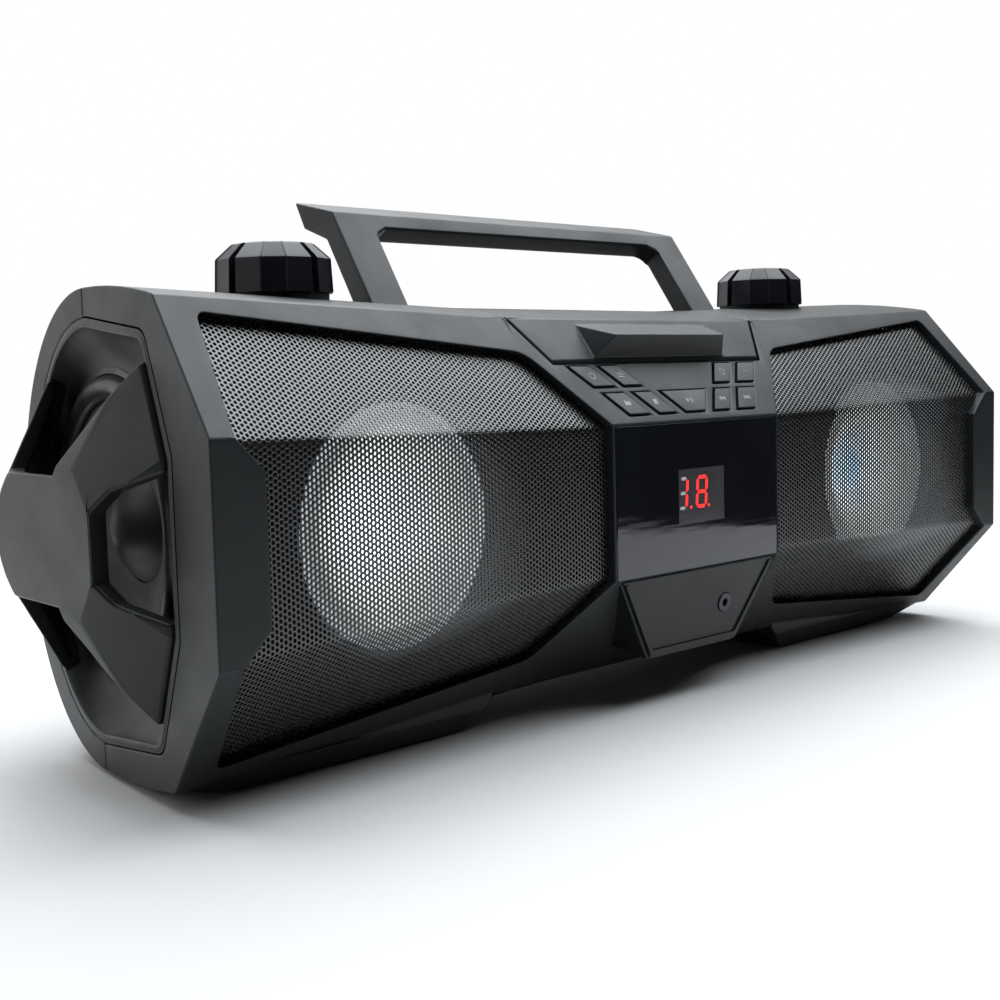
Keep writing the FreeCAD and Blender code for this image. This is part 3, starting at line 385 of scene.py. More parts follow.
def material(name):
    """The named material, made on first use."""
    if name in _made:
        return _made[name]
    look = finish_of()
    shell, knob = tuple(look.shell), tuple(look.knob)
    recipes = {
        "shell": lambda: satin("shell_plastic", shell),
        # A darker copy of the shell for parts inside, in recesses and under others: partly darker
        # plastic, partly painted shade.
        "inner": lambda: satin("inner_plastic", shade(shell, 0.45), 0.55, wear_and_highlight=1.5),
        "guard": lambda: satin("guard_plastic", shade(shell, 0.85), 0.40),
        "knob": lambda: satin("knob_plastic", knob, 0.33, wear_and_highlight=3.4),
        "key": lambda: satin("key_plastic", shade(shell, 0.85), 0.36, wear_and_highlight=2.6),
        "mesh": lambda: painted_mesh(tuple(look.mesh)),
        "panel": lambda: gloss("panel_acrylic", (0.004, 0.005, 0.008)),
        "window": lambda: gloss("window_acrylic", (0.060, 0.055, 0.060), 0.09),
        "socket": lambda: satin("socket_plastic", shade(shell, 0.6), 0.34, wear_and_highlight=1.25),
        "surround": lambda: rubber("surround_rubber", (0.010, 0.011, 0.012), 0.36),
        "pad": lambda: rubber("pad_rubber", (0.016, 0.016, 0.017), 0.7),
        "cone": lambda: rubber("cone_paper", (0.055, 0.058, 0.062), 0.55),
        "dome": lambda: rubber("dome_rubber", (0.022, 0.023, 0.024), 0.46),
        "basket": lambda: metal("basket_steel", (0.20, 0.20, 0.21), 0.45),
        "bright": lambda: metal("bright_steel", (0.72, 0.72, 0.74), 0.18),
        "screw": lambda: metal("screw_steel", (0.10, 0.10, 0.11), 0.4),
        "board": circuit_board,
        "legend": lambda: lamp("key_legend", (0.30, 0.31, 0.32), 0.02),
        "digit": lambda: lamp("digit_lamp", tuple(look.digits), 1.5),
        # Unlit bars still glow faintly: painted light, as no lamp lights them.
        "unlit": lambda: lamp("unlit_bar_painted_glow", (0.52, 0.48, 0.48), 0.12),
        "ring": lambda: lamp("ring_lamp", (0.80, 0.86, 0.92), look.glow * 0.35),
        # Painted glow from the ring lamps on each speaker's cone, surround and cap; the left one is
        # set dimmer.
        "lit_left": lambda: lit_cone("lit_cone_left", look.glow * 0.72, (0.80, 0.89, 1.0),
                                     (-DRIVER_X, driver_y() + 10, MID_Z)),
        "lit_right": lambda: lit_cone("lit_cone_right", look.glow, (0.42, 0.72, 1.0),
                                      (DRIVER_X, driver_y() + 10, MID_Z)),
    }
    _made[name] = recipes[name]()
    return _made[name]


# ---------------- making meshes
def at(pair, x):
    return pair[0] + pair[1] * x


def driver_y():
    return at(FRONT_FLAT_Y, DRIVER_X) + DRIVER_DEPTH


def end_x(y):
    return END_X[0] - END_X[2] * (y - END_X[1])


def settle(name, work, finish, sharp=32.0, weigh=True):
    """Turns a bmesh into a shown object with clean normals."""
    bmesh.ops.recalc_face_normals(work, faces=work.faces)
    mesh = bpy.data.meshes.new(name)
    work.to_mesh(mesh)
    work.free()
    for face in mesh.polygons:
        face.use_smooth = True
    mesh.set_sharp_from_angle(angle=math.radians(sharp))
    mesh.materials.append(material(finish))
    piece = bpy.data.objects.new(name, mesh)
    bpy.context.scene.collection.objects.link(piece)
    if weigh:
        level = piece.modifiers.new("even_normals", "WEIGHTED_NORMAL")
        level.keep_sharp = True
        level.weight = 80
    return piece


def assemble(points, faces):
    """A bmesh from points in mm and faces."""
    work = bmesh.new()
    verts = [work.verts.new(Vector(p) * MM) for p in points]
    for face in faces:
        work.faces.new([verts[i] for i in face])
    return work


def round_edges(work, width, steps, sharp):
    """Rounds every edge that turns more than sharp degrees."""
    edges = [e for e in work.edges
             if len(e.link_faces) == 2 and e.calc_face_angle(0.0) > math.radians(sharp)]
    if edges:
        bmesh.ops.bevel(work, geom=edges, offset=width, offset_type="OFFSET", segments=steps,
                        profile=0.5, affect="EDGES", clamp_overlap=False, loop_slide=False)


def from_node(name, node, finish, width, steps=2, sharp=26.0):
    """The node's own form with its edges rounded."""
    work = bmesh.new()
    work.from_mesh(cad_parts[node].data)
    bmesh.ops.remove_doubles(work, verts=work.verts, dist=0.02 * MM)
    bmesh.ops.dissolve_degenerate(work, edges=work.edges, dist=0.02 * MM)
    bmesh.ops.recalc_face_normals(work, faces=work.faces)
    before = BVHTree.FromBMesh(work)
    low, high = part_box(node)
    round_edges(work, width, steps, sharp)
    for vert in work.verts:
        near, _, _, gap = before.find_nearest(vert.co)
        if gap > STRAY * width:
            vert.co = near
        vert.co = [min(max(part, a), b) for part, a, b in zip(vert.co, low, high)]
    return settle(name, work, finish)


def own(piece, body, slot, *nodes):
    """Gives a piece its body and the nodes that it stands for, which it hides. The slot is not used.
    """
    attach(piece, body)
    if nodes:
        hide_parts(*nodes)
    return piece


def cover(name, node, finish, width, steps, body, slot):
    """A copy of a node with its edges rounded, which stands for the node."""
    own(from_node(name, node, finish, width, steps), body, slot, node)


def dress(node, finish):
    """Gives a node that stays as it is its finish."""
    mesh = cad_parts[node].data
    mesh.materials.clear()
    mesh.materials.append(material(finish))


def band(first, second, count):
    """The faces between two closed rings of points."""
    return [(first + i, first + (i + 1) % count, second + (i + 1) % count, second + i)
            for i in range(count)]


def oblong(u0, u1, v0, v1):
    return [(u0, v0), (u1, v0), (u1, v1), (u0, v1)]


def slab(outline, place, low, high, start=0):
    """Points and faces of a plate over a closed outline, between two heights."""
    count = len(outline)
    points = [place(u, v, low) for u, v in outline] + [place(u, v, high) for u, v in outline]
    faces = [tuple(start + i for i in reversed(range(count)))]
    faces.append(tuple(start + count + i for i in range(count)))
    return points, faces + band(start, start + count, count)


def plates(outlines, place, low, high):
    """Several plates as one bmesh."""
    points, faces = [], []
    for outline in outlines:
        more_points, more_faces = slab(outline, place, low, high, len(points))
        points += more_points
        faces += more_faces
    return assemble(points, faces)


def turned(profile, place, steps=128, closed=False):
    """A bmesh turned about local Y from (radius, y) points, then put in its place."""
    work = bmesh.new()
    rings = []
    for radius, y in profile:
        if radius < 1e-6:
            rings.append([work.verts.new(Vector((0, y, 0)) * MM)])
            continue
        ring = []
        for i in range(steps):
            angle = 2 * math.pi * i / steps
            ring.append(work.verts.new(
                Vector((radius * math.cos(angle), y, radius * math.sin(angle))) * MM))
        rings.append(ring)
    pairs = list(zip(rings, rings[1:]))
    if closed:
        pairs.append((rings[-1], rings[0]))
    for first, second in pairs:
        for i in range(steps):
            j = (i + 1) % steps
            corners = [first[i % len(first)], first[j % len(first)],
                       second[j % len(second)], second[i % len(second)]]
            kept = list(dict.fromkeys(corners))
            if len(kept) > 2:
                work.faces.new(kept)
    bmesh.ops.transform(work, matrix=place, verts=work.verts)
    return work


def arc(centre, radius, start, end, steps):
    """Points on an arc from start to end degrees."""
    out = []
    for i in range(steps + 1):
        angle = math.radians(start + (end - start) * i / steps)
        out.append((centre[0] + radius * math.cos(angle), centre[1] + radius * math.sin(angle)))
    return out


def facet_place(x, s, lift):
    """A point on the sloping control face: s mm up it, lift mm off it."""
    dy = CENTRE_EDGE[0] - CENTRE_FRONT_Y
    dz = CENTRE_EDGE[1] - CENTRE_FLAT_HALF
    length = math.hypot(dy, dz)
    dy, dz = dy / length, dz / length
    return (x, CENTRE_FRONT_Y + s * dy - lift * dz, MID_Z + CENTRE_FLAT_HALF + s * dz + lift * dy)


def front_place(x, z, lift):
    """A point lift mm in front of the display."""
    return (x, CENTRE_FRONT_Y - lift, z)


def chin_length():
    return math.hypot(CHIN_LOW[0] - CHIN_TOP[0], CHIN_LOW[1] - CHIN_TOP[1])


def chin_half(down):
    """Half the width of the socket tongue, some mm down its face."""
    return CHIN_HALF[0] + (CHIN_HALF[1] - CHIN_HALF[0]) * down / chin_length()


def chin_place(x, down, lift):
    """A point on the face of the socket tongue, lift mm off it."""
    dy = (CHIN_LOW[0] - CHIN_TOP[0]) / chin_length()
    dz = (CHIN_LOW[1] - CHIN_TOP[1]) / chin_length()
    return (x, CHIN_TOP[0] + down * dy + lift * dz, CHIN_TOP[1] + down * dz - lift * dy)


def back_y(z):
    """Where the back of the cabinet is at height z, near the middle."""
    seam, depth, half = BACK
    return seam + depth * math.sqrt(1 - ((z - MID_Z) / half) ** 2)


def back_place(x, z, lift):
    return (x, back_y(z) + lift, z)


# ---------------- speaker mesh
def softened(points, radii, steps=6):
    """A closed outline with its corners replaced by arcs; a radius of 0 keeps a corner."""
    out = []
    for i, (here, radius) in enumerate(zip(points, radii)):
        if not radius:
            out.append(here)
            continue
        corner = Vector(here)
        back = (Vector(points[i - 1]) - corner).normalized()
        ahead = (Vector(points[(i + 1) % len(points)]) - corner).normalized()
        half = back.angle(ahead) / 2
        centre = corner + (back + ahead).normalized() * (radius / math.sin(half))
        first = corner + back * (radius / math.tan(half)) - centre
        last = corner + ahead * (radius / math.tan(half)) - centre
        for step in range(steps + 1):
            between = first.lerp(last, step / steps).normalized()
            out.append(tuple(centre + between * radius))
    return out


def opening_outline():
    upper = OPENING_UPPER
    outline = upper + [(x, -h) for x, h in reversed(upper)]
    return softened(outline, OPENING_RADII + OPENING_RADII[::-1])


def inside(px, pv, outline):
    """Which points lie inside a closed outline."""
    hit = np.zeros(px.shape, bool)
    for (ax, ay), (bx, by) in zip(outline, outline[1:] + outline[:1]):
        if ay == by:
            continue
        cross = (ay > pv) != (by > pv)
        hit ^= cross & (px < (bx - ax) * (pv - ay) / (by - ay) + ax)
    return hit


def on_mesh(x, v, depth):
    """Folds a flat sheet, v being the distance round the section, onto the cabinet's front."""
    flat_y = FRONT_FLAT_Y[0] + FRONT_FLAT_Y[1] * x + depth
    flat_half = FRONT_FLAT_HALF[0] + FRONT_FLAT_HALF[1] * x - 0.35 * depth
    edge_y = EDGE_Y[0] + EDGE_Y[1] * x + 0.53 * depth
    edge_half = EDGE_HALF[0] + EDGE_HALF[1] * x - 0.95 * depth
    dy, dh = edge_y - flat_y, edge_half - flat_half
    length = np.hypot(dy, dh)
    dy, dh = dy / length, dh / length
    past = np.abs(v) - flat_half
    fold = 1.3
    past = 0.5 * (past + np.sqrt(past * past + fold * fold))
    height = np.abs(v) - past * (1 - dh)
    return x, flat_y + past * dy, np.sign(v) * height


def speaker_mesh(side):
    """The folded, perforated steel sheet: a hexagonal hole in each cell of a honeycomb."""
    holes = bpy.context.scene.boombox_mesh
    pitch, hole, sheet = holes.pitch / MM, holes.hole / MM, holes.sheet / MM
    step_x = pitch * math.sqrt(3) / 2
    columns = np.arange(int(54 / step_x), int(258 / step_x))
    rows = np.arange(-int(100 / pitch), int(100 / pitch))
    column, row = [part.ravel() for part in np.meshgrid(columns, rows, indexing="ij")]
    cx, cv = column * step_x, (row + 0.5 * (column % 2)) * pitch
    x, _, height = on_mesh(cx, cv, MESH_DEPTH)
    keep = inside(x, height, [tuple(p) for p in grown(opening_outline(), 2.2)])
    cx, cv = cx[keep], cv[keep]
    outer_r = pitch / math.sqrt(3)
    turn = np.arange(6) * math.pi / 3
    corner_x = cx[:, None] + outer_r * np.cos(turn)
    corner_v = cv[:, None] + outer_r * np.sin(turn)
    hole_x = cx[:, None] + hole / 2 * np.cos(turn)
    hole_v = cv[:, None] + hole / 2 * np.sin(turn)
    count = len(cx)
    layers = [on_mesh(corner_x, corner_v, MESH_DEPTH), on_mesh(hole_x, hole_v, MESH_DEPTH + 0.12),
              on_mesh(hole_x, hole_v, MESH_DEPTH + sheet)]
    points = np.concatenate([np.stack(layer, -1).reshape(-1, 3) for layer in layers])
    points[:, 0] *= side
    points[:, 2] += MID_Z
    here = np.arange(count * 6).reshape(count, 6)
    after = np.roll(here, -1, axis=1)
    total = count * 6
    front = np.stack([here, after, after + total, here + total], -1).reshape(-1, 4)
    wall = np.stack([here + total, after + total, after + 2 * total, here + 2 * total],
                    -1).reshape(-1, 4)
    mesh = bpy.data.meshes.new("speaker_mesh")
    mesh.from_pydata((points * MM).tolist(), [], np.concatenate([front, wall]).tolist())
    work = bmesh.new()
    work.from_mesh(mesh)
    bpy.data.meshes.remove(mesh)
    bmesh.ops.remove_doubles(work, verts=work.verts, dist=0.03 * MM)
    return work


def grown(points, gap):
    """The corners of a closed outline moved outwards by gap."""
    nexts = points[1:] + points[:1]
    area = sum(a[0] * b[1] - b[0] * a[1] for a, b in zip(points, nexts))
    way = 1 if area > 0 else -1
    out = []
    for corners in zip(points[-1:] + points[:-1], points, nexts):
        before, here, after = map(Vector, corners)
        first, second = (here - before).normalized(), (after - here).normalized()
        n1, n2 = Vector((way * first.y, -way * first.x)), Vector((way * second.y, -way * second.x))
        out.append(tuple(here + (n1 + n2) * (gap / (1 + n1.dot(n2)))))
    return out


# ---------------- drivers and radiators
def driver_place(side):
    toe = math.atan(-FRONT_FLAT_Y[1])
    spot = Matrix.Translation(Vector((side * DRIVER_X, driver_y(), MID_Z)) * MM)
    return spot @ Matrix.Rotation(-side * toe, 4, "Z")


def driver_profiles():
    """Closed (radius, y) outlines of a driver's moving and fixed rings; front is -y."""
    r = DRIVER_R
    roll = arc((r - 4.5, -0.8), 3.4, 0, -180, 20)
    under = [(radius, y + 0.9) for radius, y in reversed(roll)]
    surround = [(r - 0.6, -0.9)] + roll + [(r - 8.4, -0.9), (r - 8.4, 0.0)] + under + [(r - 0.6, 0.0)]
    bowl = []
    for i in range(19):
        share = i / 18
        bowl.append((r - 8.2 - share * (r - 8.2 - 14.0), -0.7 + 16.6 * share ** 1.25))
    cone = bowl + [(radius, y + 0.8) for radius, y in reversed(bowl)]
    dome = arc((0.0, 27.6), 18.6, -41, -90, 12)
    cap = [(14.1, 15.8)] + dome[:-1] + [(0.0, 9.0), (0.0, 10.0)]
    cap += [(radius * 0.95, y + 1.0) for radius, y in reversed(dome[:-1])]
    return surround, cone, cap


def radiator_place(side):
    lean = math.atan(END_X[2])
    x = end_x(RADIATOR_Y) - RADIATOR_RECESS
    spot = Matrix.Translation(Vector((side * x, RADIATOR_Y, MID_Z)) * MM)
    return spot @ Matrix.Rotation(side * (math.pi / 2 + lean), 4, "Z")


def radiator_profiles():
    r = RADIATOR_R
    roll = arc((r - 6.6, -0.8), 4.8, 0, -180, 24)
    flange = [(r + 1.0, -0.3), (r + 1.0, -1.7), (r - 1.4, -2.0)]
    under = [(radius, y + 1.1) for radius, y in reversed(roll)]
    surround = flange + roll + [(r - 12.6, -1.0), (r - 12.6, 0.1)] + under + [(r - 1.4, -0.3)]
    bowl = []
    for i in range(13):
        share = i / 12
        bowl.append((r - 12.8 - share * (r - 12.8 - 21.5), -1.9 + 9.6 * share ** 0.8))
    cone = bowl + [(radius, y + 1.0) for radius, y in reversed(bowl)]
    dome = arc((0.0, 23.4), 26.0, -34, -90, 14)
    cap = [(22.0, 8.2)] + dome[:-1] + [(0.0, -2.6), (0.0, -1.4)]
    cap += [(radius * 0.96, y + 1.2) for radius, y in reversed(dome[:-1])]
    return surround, cone, cap


def end_outline(steps=28):
    """The end opening as y and height corners: three bends in front, half an ellipse behind."""
    middle, top = END_OPENING[0]
    back = []
    for i in range(1, steps):
        angle = math.pi / 2 - math.pi * i / steps
        back.append((middle + END_OPENING_REAR * math.cos(angle), top * math.sin(angle)))
    outline = list(reversed(END_OPENING)) + back + [(y, -h) for y, h in END_OPENING]
    return softened(outline, END_RADII[::-1] + [0.0] * len(back) + END_RADII)


def ray_reach(outline, angle):
    """How far an outline is from the radiator's axis in one direction."""
    dy, dh = math.cos(angle), math.sin(angle)
    best = 0.0
    for (ay, ah), (by, bh) in zip(outline, outline[1:] + outline[:1]):
        ay, by = ay - RADIATOR_Y, by - RADIATOR_Y
        ey, eh = by - ay, bh - ah
        below = dy * eh - dh * ey
        if abs(below) < 1e-9:
            continue
        share = (dh * ay - dy * ah) / below
        reach = (ay * eh - ah * ey) / below
        if -1e-6 <= share <= 1 + 1e-6:
            best = max(best, reach)
    return best


def end_bowl(side):
    """The lip round an end opening and the smooth wall that falls from it to the radiator."""
    steps, rise = 240, 14
    outline = end_outline()
    rings = [(0.0, 0.15, 0.0), (0.0, 0.15, 0.9), (0.0, -0.25, 1.6), (0.0, -0.25, LIP_WIDTH - 0.8),
             (0.0, 0.1, LIP_WIDTH - 0.2)]
    for i in range(rise + 1):
        share = i / rise
        rings.append((share, 0.6 + (RADIATOR_RECESS - 2.0) * math.sin(share * math.pi / 2) ** 0.85,
                      LIP_WIDTH))
    rings += [(1.0, RADIATOR_RECESS + 2.4, LIP_WIDTH), (0.0, RADIATOR_RECESS + 2.4, 0.0)]
    points, faces = [], []
    for share, depth, inset in rings:
        for i in range(steps):
            angle = 2 * math.pi * i / steps
            reach = ray_reach(outline, angle) - inset
            reach += (RADIATOR_R + 0.6 - reach) * share
            y = RADIATOR_Y + reach * math.cos(angle)
            points.append((side * (end_x(y) - depth), y, MID_Z + reach * math.sin(angle)))
    for ring in range(len(rings)):
        faces += band(ring * steps, (ring + 1) % len(rings) * steps, steps)
    return assemble(points, faces)


# ---------------- pieces, one operator for each group
class BOOMBOX_OT_cabinet(bpy.types.Operator):
    """Front and rear cabinet mouldings with rounded edges"""

    bl_idname = "boombox.cabinet"
    bl_label = "Cabinet"

    def execute(self, context):
        edges = edges_of()
        for node in ("front_cabinet", "rear_cabinet"):
            cover(node + "_shell", node, "shell", edges.cabinet, edges.steps, "cabinet",
                  "cabinet_plastic")
        return {"FINISHED"}


class BOOMBOX_OT_speaker_mesh(bpy.types.Operator):
    """The two folded steel speaker meshes"""

    bl_idname = "boombox.speaker_mesh"
    bl_label = "Speaker meshes"

    def execute(self, context):
        for name, side in SIDES.items():
            sheet = settle("speaker_mesh_" + name, speaker_mesh(side), "mesh", 40.0, False)
            own(sheet, "cabinet", "grille_steel", "grille_" + name)
        return {"FINISHED"}


def turned_set(prefix, kind, name, place, rows):
    """The turned pieces of one speaker or radiator, each standing for its own node."""
    for part, profile, finish, slot in rows:
        work = turned(profile, place, closed=part != "cap")
        own(settle(f"{prefix}_{part}_{name}", work, finish, 40.0), "cabinet", slot,
            f"{kind}_{part}_{name}")


class BOOMBOX_OT_drivers(bpy.types.Operator):
    """Cone, surround and dust cap of the two speakers, with the lamps round them"""

    bl_idname = "boombox.drivers"
    bl_label = "Speakers"

    def execute(self, context):
        surround, cone, cap = driver_profiles()
        for name, side in SIDES.items():
            # The cone, surround and cap all take the painted glow of the lamps round them.
            lit = "lit_" + name
            rows = (("surround", surround, lit, "rubber"), ("cone", cone, lit, "cone_paper"),
                    ("cap", cap, lit, "bright_cap"))
            turned_set("speaker", "driver", name, driver_place(side), rows)
            dress("light_ring_" + name, "ring")
            dress("driver_frame_" + name, "basket")
            dress("driver_magnet_" + name, "basket")
        return {"FINISHED"}


class BOOMBOX_OT_radiators(bpy.types.Operator):
    """Passive bass radiators in the two ends"""

    bl_idname = "boombox.radiators"
    bl_label = "Bass radiators"

    def execute(self, context):
        surround, cone, cap = radiator_profiles()
        for name, side in SIDES.items():
            rows = (("surround", surround, "surround", "rubber"), ("cone", cone, "cone", "cone_paper"),
                    ("cap", cap, "dome", "rubber"))
            turned_set("bass", "radiator", name, radiator_place(side), rows)
            bowl = settle("end_bowl_" + name, end_bowl(side), "guard", 34.0)
            own(bowl, "cabinet", "cabinet_plastic", "radiator_board_" + name)
        return {"FINISHED"}


class BOOMBOX_OT_guards(bpy.types.Operator):
    """The cross-shaped guards over the bass radiators"""

    bl_idname = "boombox.guards"
    bl_label = "End guards"

    def execute(self, context):
        edges = edges_of()
        for name in SIDES:
            cover("guard_" + name, "end_guard_" + name, "guard", edges.guard, edges.steps,
                  "cabinet", "cabinet_plastic")
        return {"FINISHED"}


class BOOMBOX_OT_knobs(bpy.types.Operator):
    """Volume and tuning knobs: flat panels parted by deep grooves, bevelled at the top"""

    bl_idname = "boombox.knobs"
    bl_label = "Knobs"

    def execute(self, context):
        for name, side, facing in (("tuning_knob", 1, -144.0), ("volume_knob", -1, -125.0)):
            work = self.knob(side * KNOB_PLACE[0], KNOB_PLACE[1], math.radians(facing))
            own(settle(name + "_grip", work, "knob", 24.0), name, "knob_plastic", name)
            # A dark collar below each knob; its dark colour paints the shade under the knob.
            radius, foot, top = KNOB_SHADED_SEAT
            seat = [(0.0, foot), (radius, foot), (radius, top), (0.0, top)]
            spot = Matrix.Translation(Vector((side * KNOB_PLACE[0], KNOB_PLACE[1], 0)) * MM)
            disc = turned(seat, spot @ Matrix.Rotation(math.pi / 2, 4, "X"), 64)
            own(settle(name + "_shaded_seat", disc, "inner"), "cabinet", "inner_plastic")
            dress("control_" + ("right" if side > 0 else "left"), "basket")
        return {"FINISHED"}

    def reach(self, angle):
        """How far out the grip reaches at an angle from the middle of its front panel, 0 to 1."""
        bends = (-45.0, -12.5, 12.5, 45.0)
        local = (math.degrees(angle) + 45.0) % 90.0 - 45.0
        for low, high in zip(bends, bends[1:]):
            if low <= local <= high:
                half, middle = (high - low) / 2, (high + low) / 2
                return math.cos(math.radians(half)) / math.cos(math.radians(local - middle))
        return 1.0

    def knob(self, cx, cy, facing):
        groove_half, groove_deep = 4.6, 4.0
        angles = []
        for quarter in range(4):
            for local in (-45.0 + groove_half + 0.01, -38.0, -30.0, -22.0, -13.4, -12.9, -12.1, -11.6,
                          -6.0, 0.0, 6.0, 11.6, 12.1, 12.9, 13.4, 22.0, 30.0, 38.0,
                          45.0 - groove_half - 0.01, 45.0 - groove_half, 45.0, 45.0 + groove_half):
                angles.append((90.0 * quarter + local, local))
        levels = [(0.0, KNOB_R), (0.6, KNOB_R), (KNOB_SHOULDER_Z - KNOB_BASE_Z - 0.5, 23.4),
                  (KNOB_SHOULDER_Z - KNOB_BASE_Z + 0.4, 22.6),
                  (KNOB_TOP_Z - KNOB_BASE_Z - 0.5, KNOB_TOP_R + 1.2),
                  (KNOB_TOP_Z - KNOB_BASE_Z, KNOB_TOP_R)]
        points, faces = [], []
        count = len(angles)
        for rise, radius in levels:
            for angle, local in angles:
                out = radius * self.reach(math.radians(angle))
                if abs(abs(local) - 12.5) < 0.5:
                    out += 0.45
                if local > 40.0 + 0.39:
                    out -= groove_deep
                turn = math.radians(angle) + facing
                points.append((cx + out * math.cos(turn), cy + out * math.sin(turn),
                               KNOB_BASE_Z + rise))
        for level in range(len(levels) - 1):
            faces += band(level * count, (level + 1) * count, count)
        faces.append(tuple(reversed(range(count))))
        faces.append(tuple((len(levels) - 1) * count + i for i in range(count)))
        return assemble(points, faces)


class BOOMBOX_OT_lid(bpy.types.Operator):
    """The disc lid and the well, hub and laser below it"""

    bl_idname = "boombox.lid"
    bl_label = "Disc lid"

    def execute(self, context):
        cover("disc_lid", "cd_lid", "shell", 0.0007, 2, "cd_lid", "cabinet_plastic")
        cover("disc_well", "cd_well", "inner", 0.0005, 2, "cabinet", "inner_plastic")
        cover("disc_spindle", "disc_hub", "inner", 0.0003, 2, "disc_hub", "inner_plastic")
        for node, finish in (("laser_sled", "inner"), ("sled_rods", "bright"),
                             ("spindle_motor", "bright"), ("lid_hinge_pins", "bright")):
            dress(node, finish)
        return {"FINISHED"}


class BOOMBOX_OT_keys(bpy.types.Operator):
    """The nine keys, each with its own raised symbol"""

    bl_idname = "boombox.keys"
    bl_label = "Keys"

    def execute(self, context):
        for key, outlines in self.symbols().items():
            cover(key + "_cap", key, "key", 0.00035, 2, key, "key_plastic")
            x, s = self.middle(key)
            work = plates([[(x + u, s + v) for u, v in outline] for outline in outlines],
                          facet_place, KEY_PROUD - 0.1, KEY_PROUD + 0.06)
            own(settle(key + "_symbol", work, "legend", 30.0, False), key, "panel_plastic")
        dress("key_board", "board")
        return {"FINISHED"}

    def middle(self, key):
        """The middle of a key on the control face, from its node's box."""
        low, high = (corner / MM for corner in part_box(key))
        s = ((low.z + high.z) / 2 - MID_Z - CENTRE_FLAT_HALF) / 0.7926
        return (low.x + high.x) / 2, s + 1.0

    def symbols(self):
        """Closed outlines of each key's symbol, in mm about the middle of the key."""
        def wedge(u, size, way=1):
            return [(u, -size), (u + way * size * 1.5, 0.0), (u, size)][::way]

        def bow(radius, thick, start, end):
            return arc((0, 0), radius, start, end, 16) + arc((0, 0), radius - thick, end, start, 16)

        return {
            "key_power": [bow(1.9, 0.35, 130, 410), oblong(-0.2, 0.2, 0.4, 2.3)],
            "key_source": [oblong(-2.0, 2.0, v - 0.15, v + 0.15) for v in (1.05, 0.0, -1.05)],
            "key_folder": [oblong(-1.9, 1.9, -1.2, 0.8), oblong(-1.9, -0.3, 0.95, 1.35)],
            "key_stop": [oblong(-1.3, 1.3, -1.3, 1.3)],
            "key_play": [wedge(-2.4, 1.4), oblong(0.4, 0.9, -1.4, 1.4), oblong(1.5, 2.0, -1.4, 1.4)],
            "key_repeat": [bow(1.8, 0.35, 30, 330), [(1.0, 0.3), (2.5, 0.3), (1.75, 1.4)]],
            "key_program": [oblong(u - 0.3, u + 0.3, -0.3, 0.3) for u in (-1.7, 0.0, 1.7)],
            "key_previous": [oblong(-2.6, -2.2, -1.3, 1.3), wedge(-0.1, 1.3, -1), wedge(2.1, 1.3, -1)],
            "key_next": [wedge(-2.1, 1.3), wedge(0.1, 1.3), oblong(2.2, 2.6, -1.3, 1.3)],
        }


class BOOMBOX_OT_display(bpy.types.Operator):
    """The glossy display with its window, lit digits and unlit bars with a faint painted glow"""

    bl_idname = "boombox.display"
    bl_label = "Display"

    def execute(self, context):
        cover("display_panel", "display_window", "panel", 0.0006, 3, "cabinet", "gloss_panel")
        outline = oblong(-WINDOW_HALF, WINDOW_HALF, *WINDOW_Z)
        window = settle("display_lens", plates([outline], front_place, 0.0, 0.08), "window")
        own(window, "cabinet", "gloss_panel")
        lit = self.digit(-14.0, "bc") + self.digit(0.0, "abcdefg")
        lit += [self.dot(-7.9), self.dot(5.0)]
        own(settle("display_digits", plates(lit, front_place, 0.06, 0.16), "digit", 30, False),
            "cabinet", "light")
        # The unlit bars carry a faint painted glow.
        unlit = self.digit(-13.4, "agd", 2.5)
        own(settle("display_bars", plates(unlit, front_place, 0.06, 0.14), "unlit", 30, False),
            "cabinet", "panel_plastic")
        dress("display_board", "board")
        return {"FINISHED"}

    def dot(self, x):
        z = sum(WINDOW_Z) / 2 + DIGIT_RISE - DIGIT_HALF
        return [(x + 0.7 * math.cos(a), z + 0.7 * math.sin(a))
                for a in (i * math.pi / 6 for i in range(12))]

    def digit(self, x, lit, wide=3.3):
        """The lit bars of a seven-bar digit whose middle is at x."""
        thick, lean = 0.75, 0.08
        mid = sum(WINDOW_Z) / 2 + DIGIT_RISE
        level = {"a": DIGIT_HALF, "g": 0.0, "d": -DIGIT_HALF}
        upright = {"f": (-wide, 1), "b": (wide, 1), "e": (-wide, -1), "c": (wide, -1)}
        bars = []
        for name in lit:
            if name in level:
                v = level[name]
                shape = [(-wide + 0.5, v), (-wide + 1.2, v - thick), (wide - 1.2, v - thick),
                         (wide - 0.5, v), (wide - 1.2, v + thick), (-wide + 1.2, v + thick)]
            else:
                u, way = upright[name]
                low, high = sorted((0.5 * way, (DIGIT_HALF - 0.5) * way))
                shape = [(u, low), (u + thick, low + 0.8), (u + thick, high - 0.8), (u, high),
                         (u - thick, high - 0.8), (u - thick, low + 0.8)]
            bars.append([(x + u + lean * v, mid + v) for u, v in shape])
        return bars


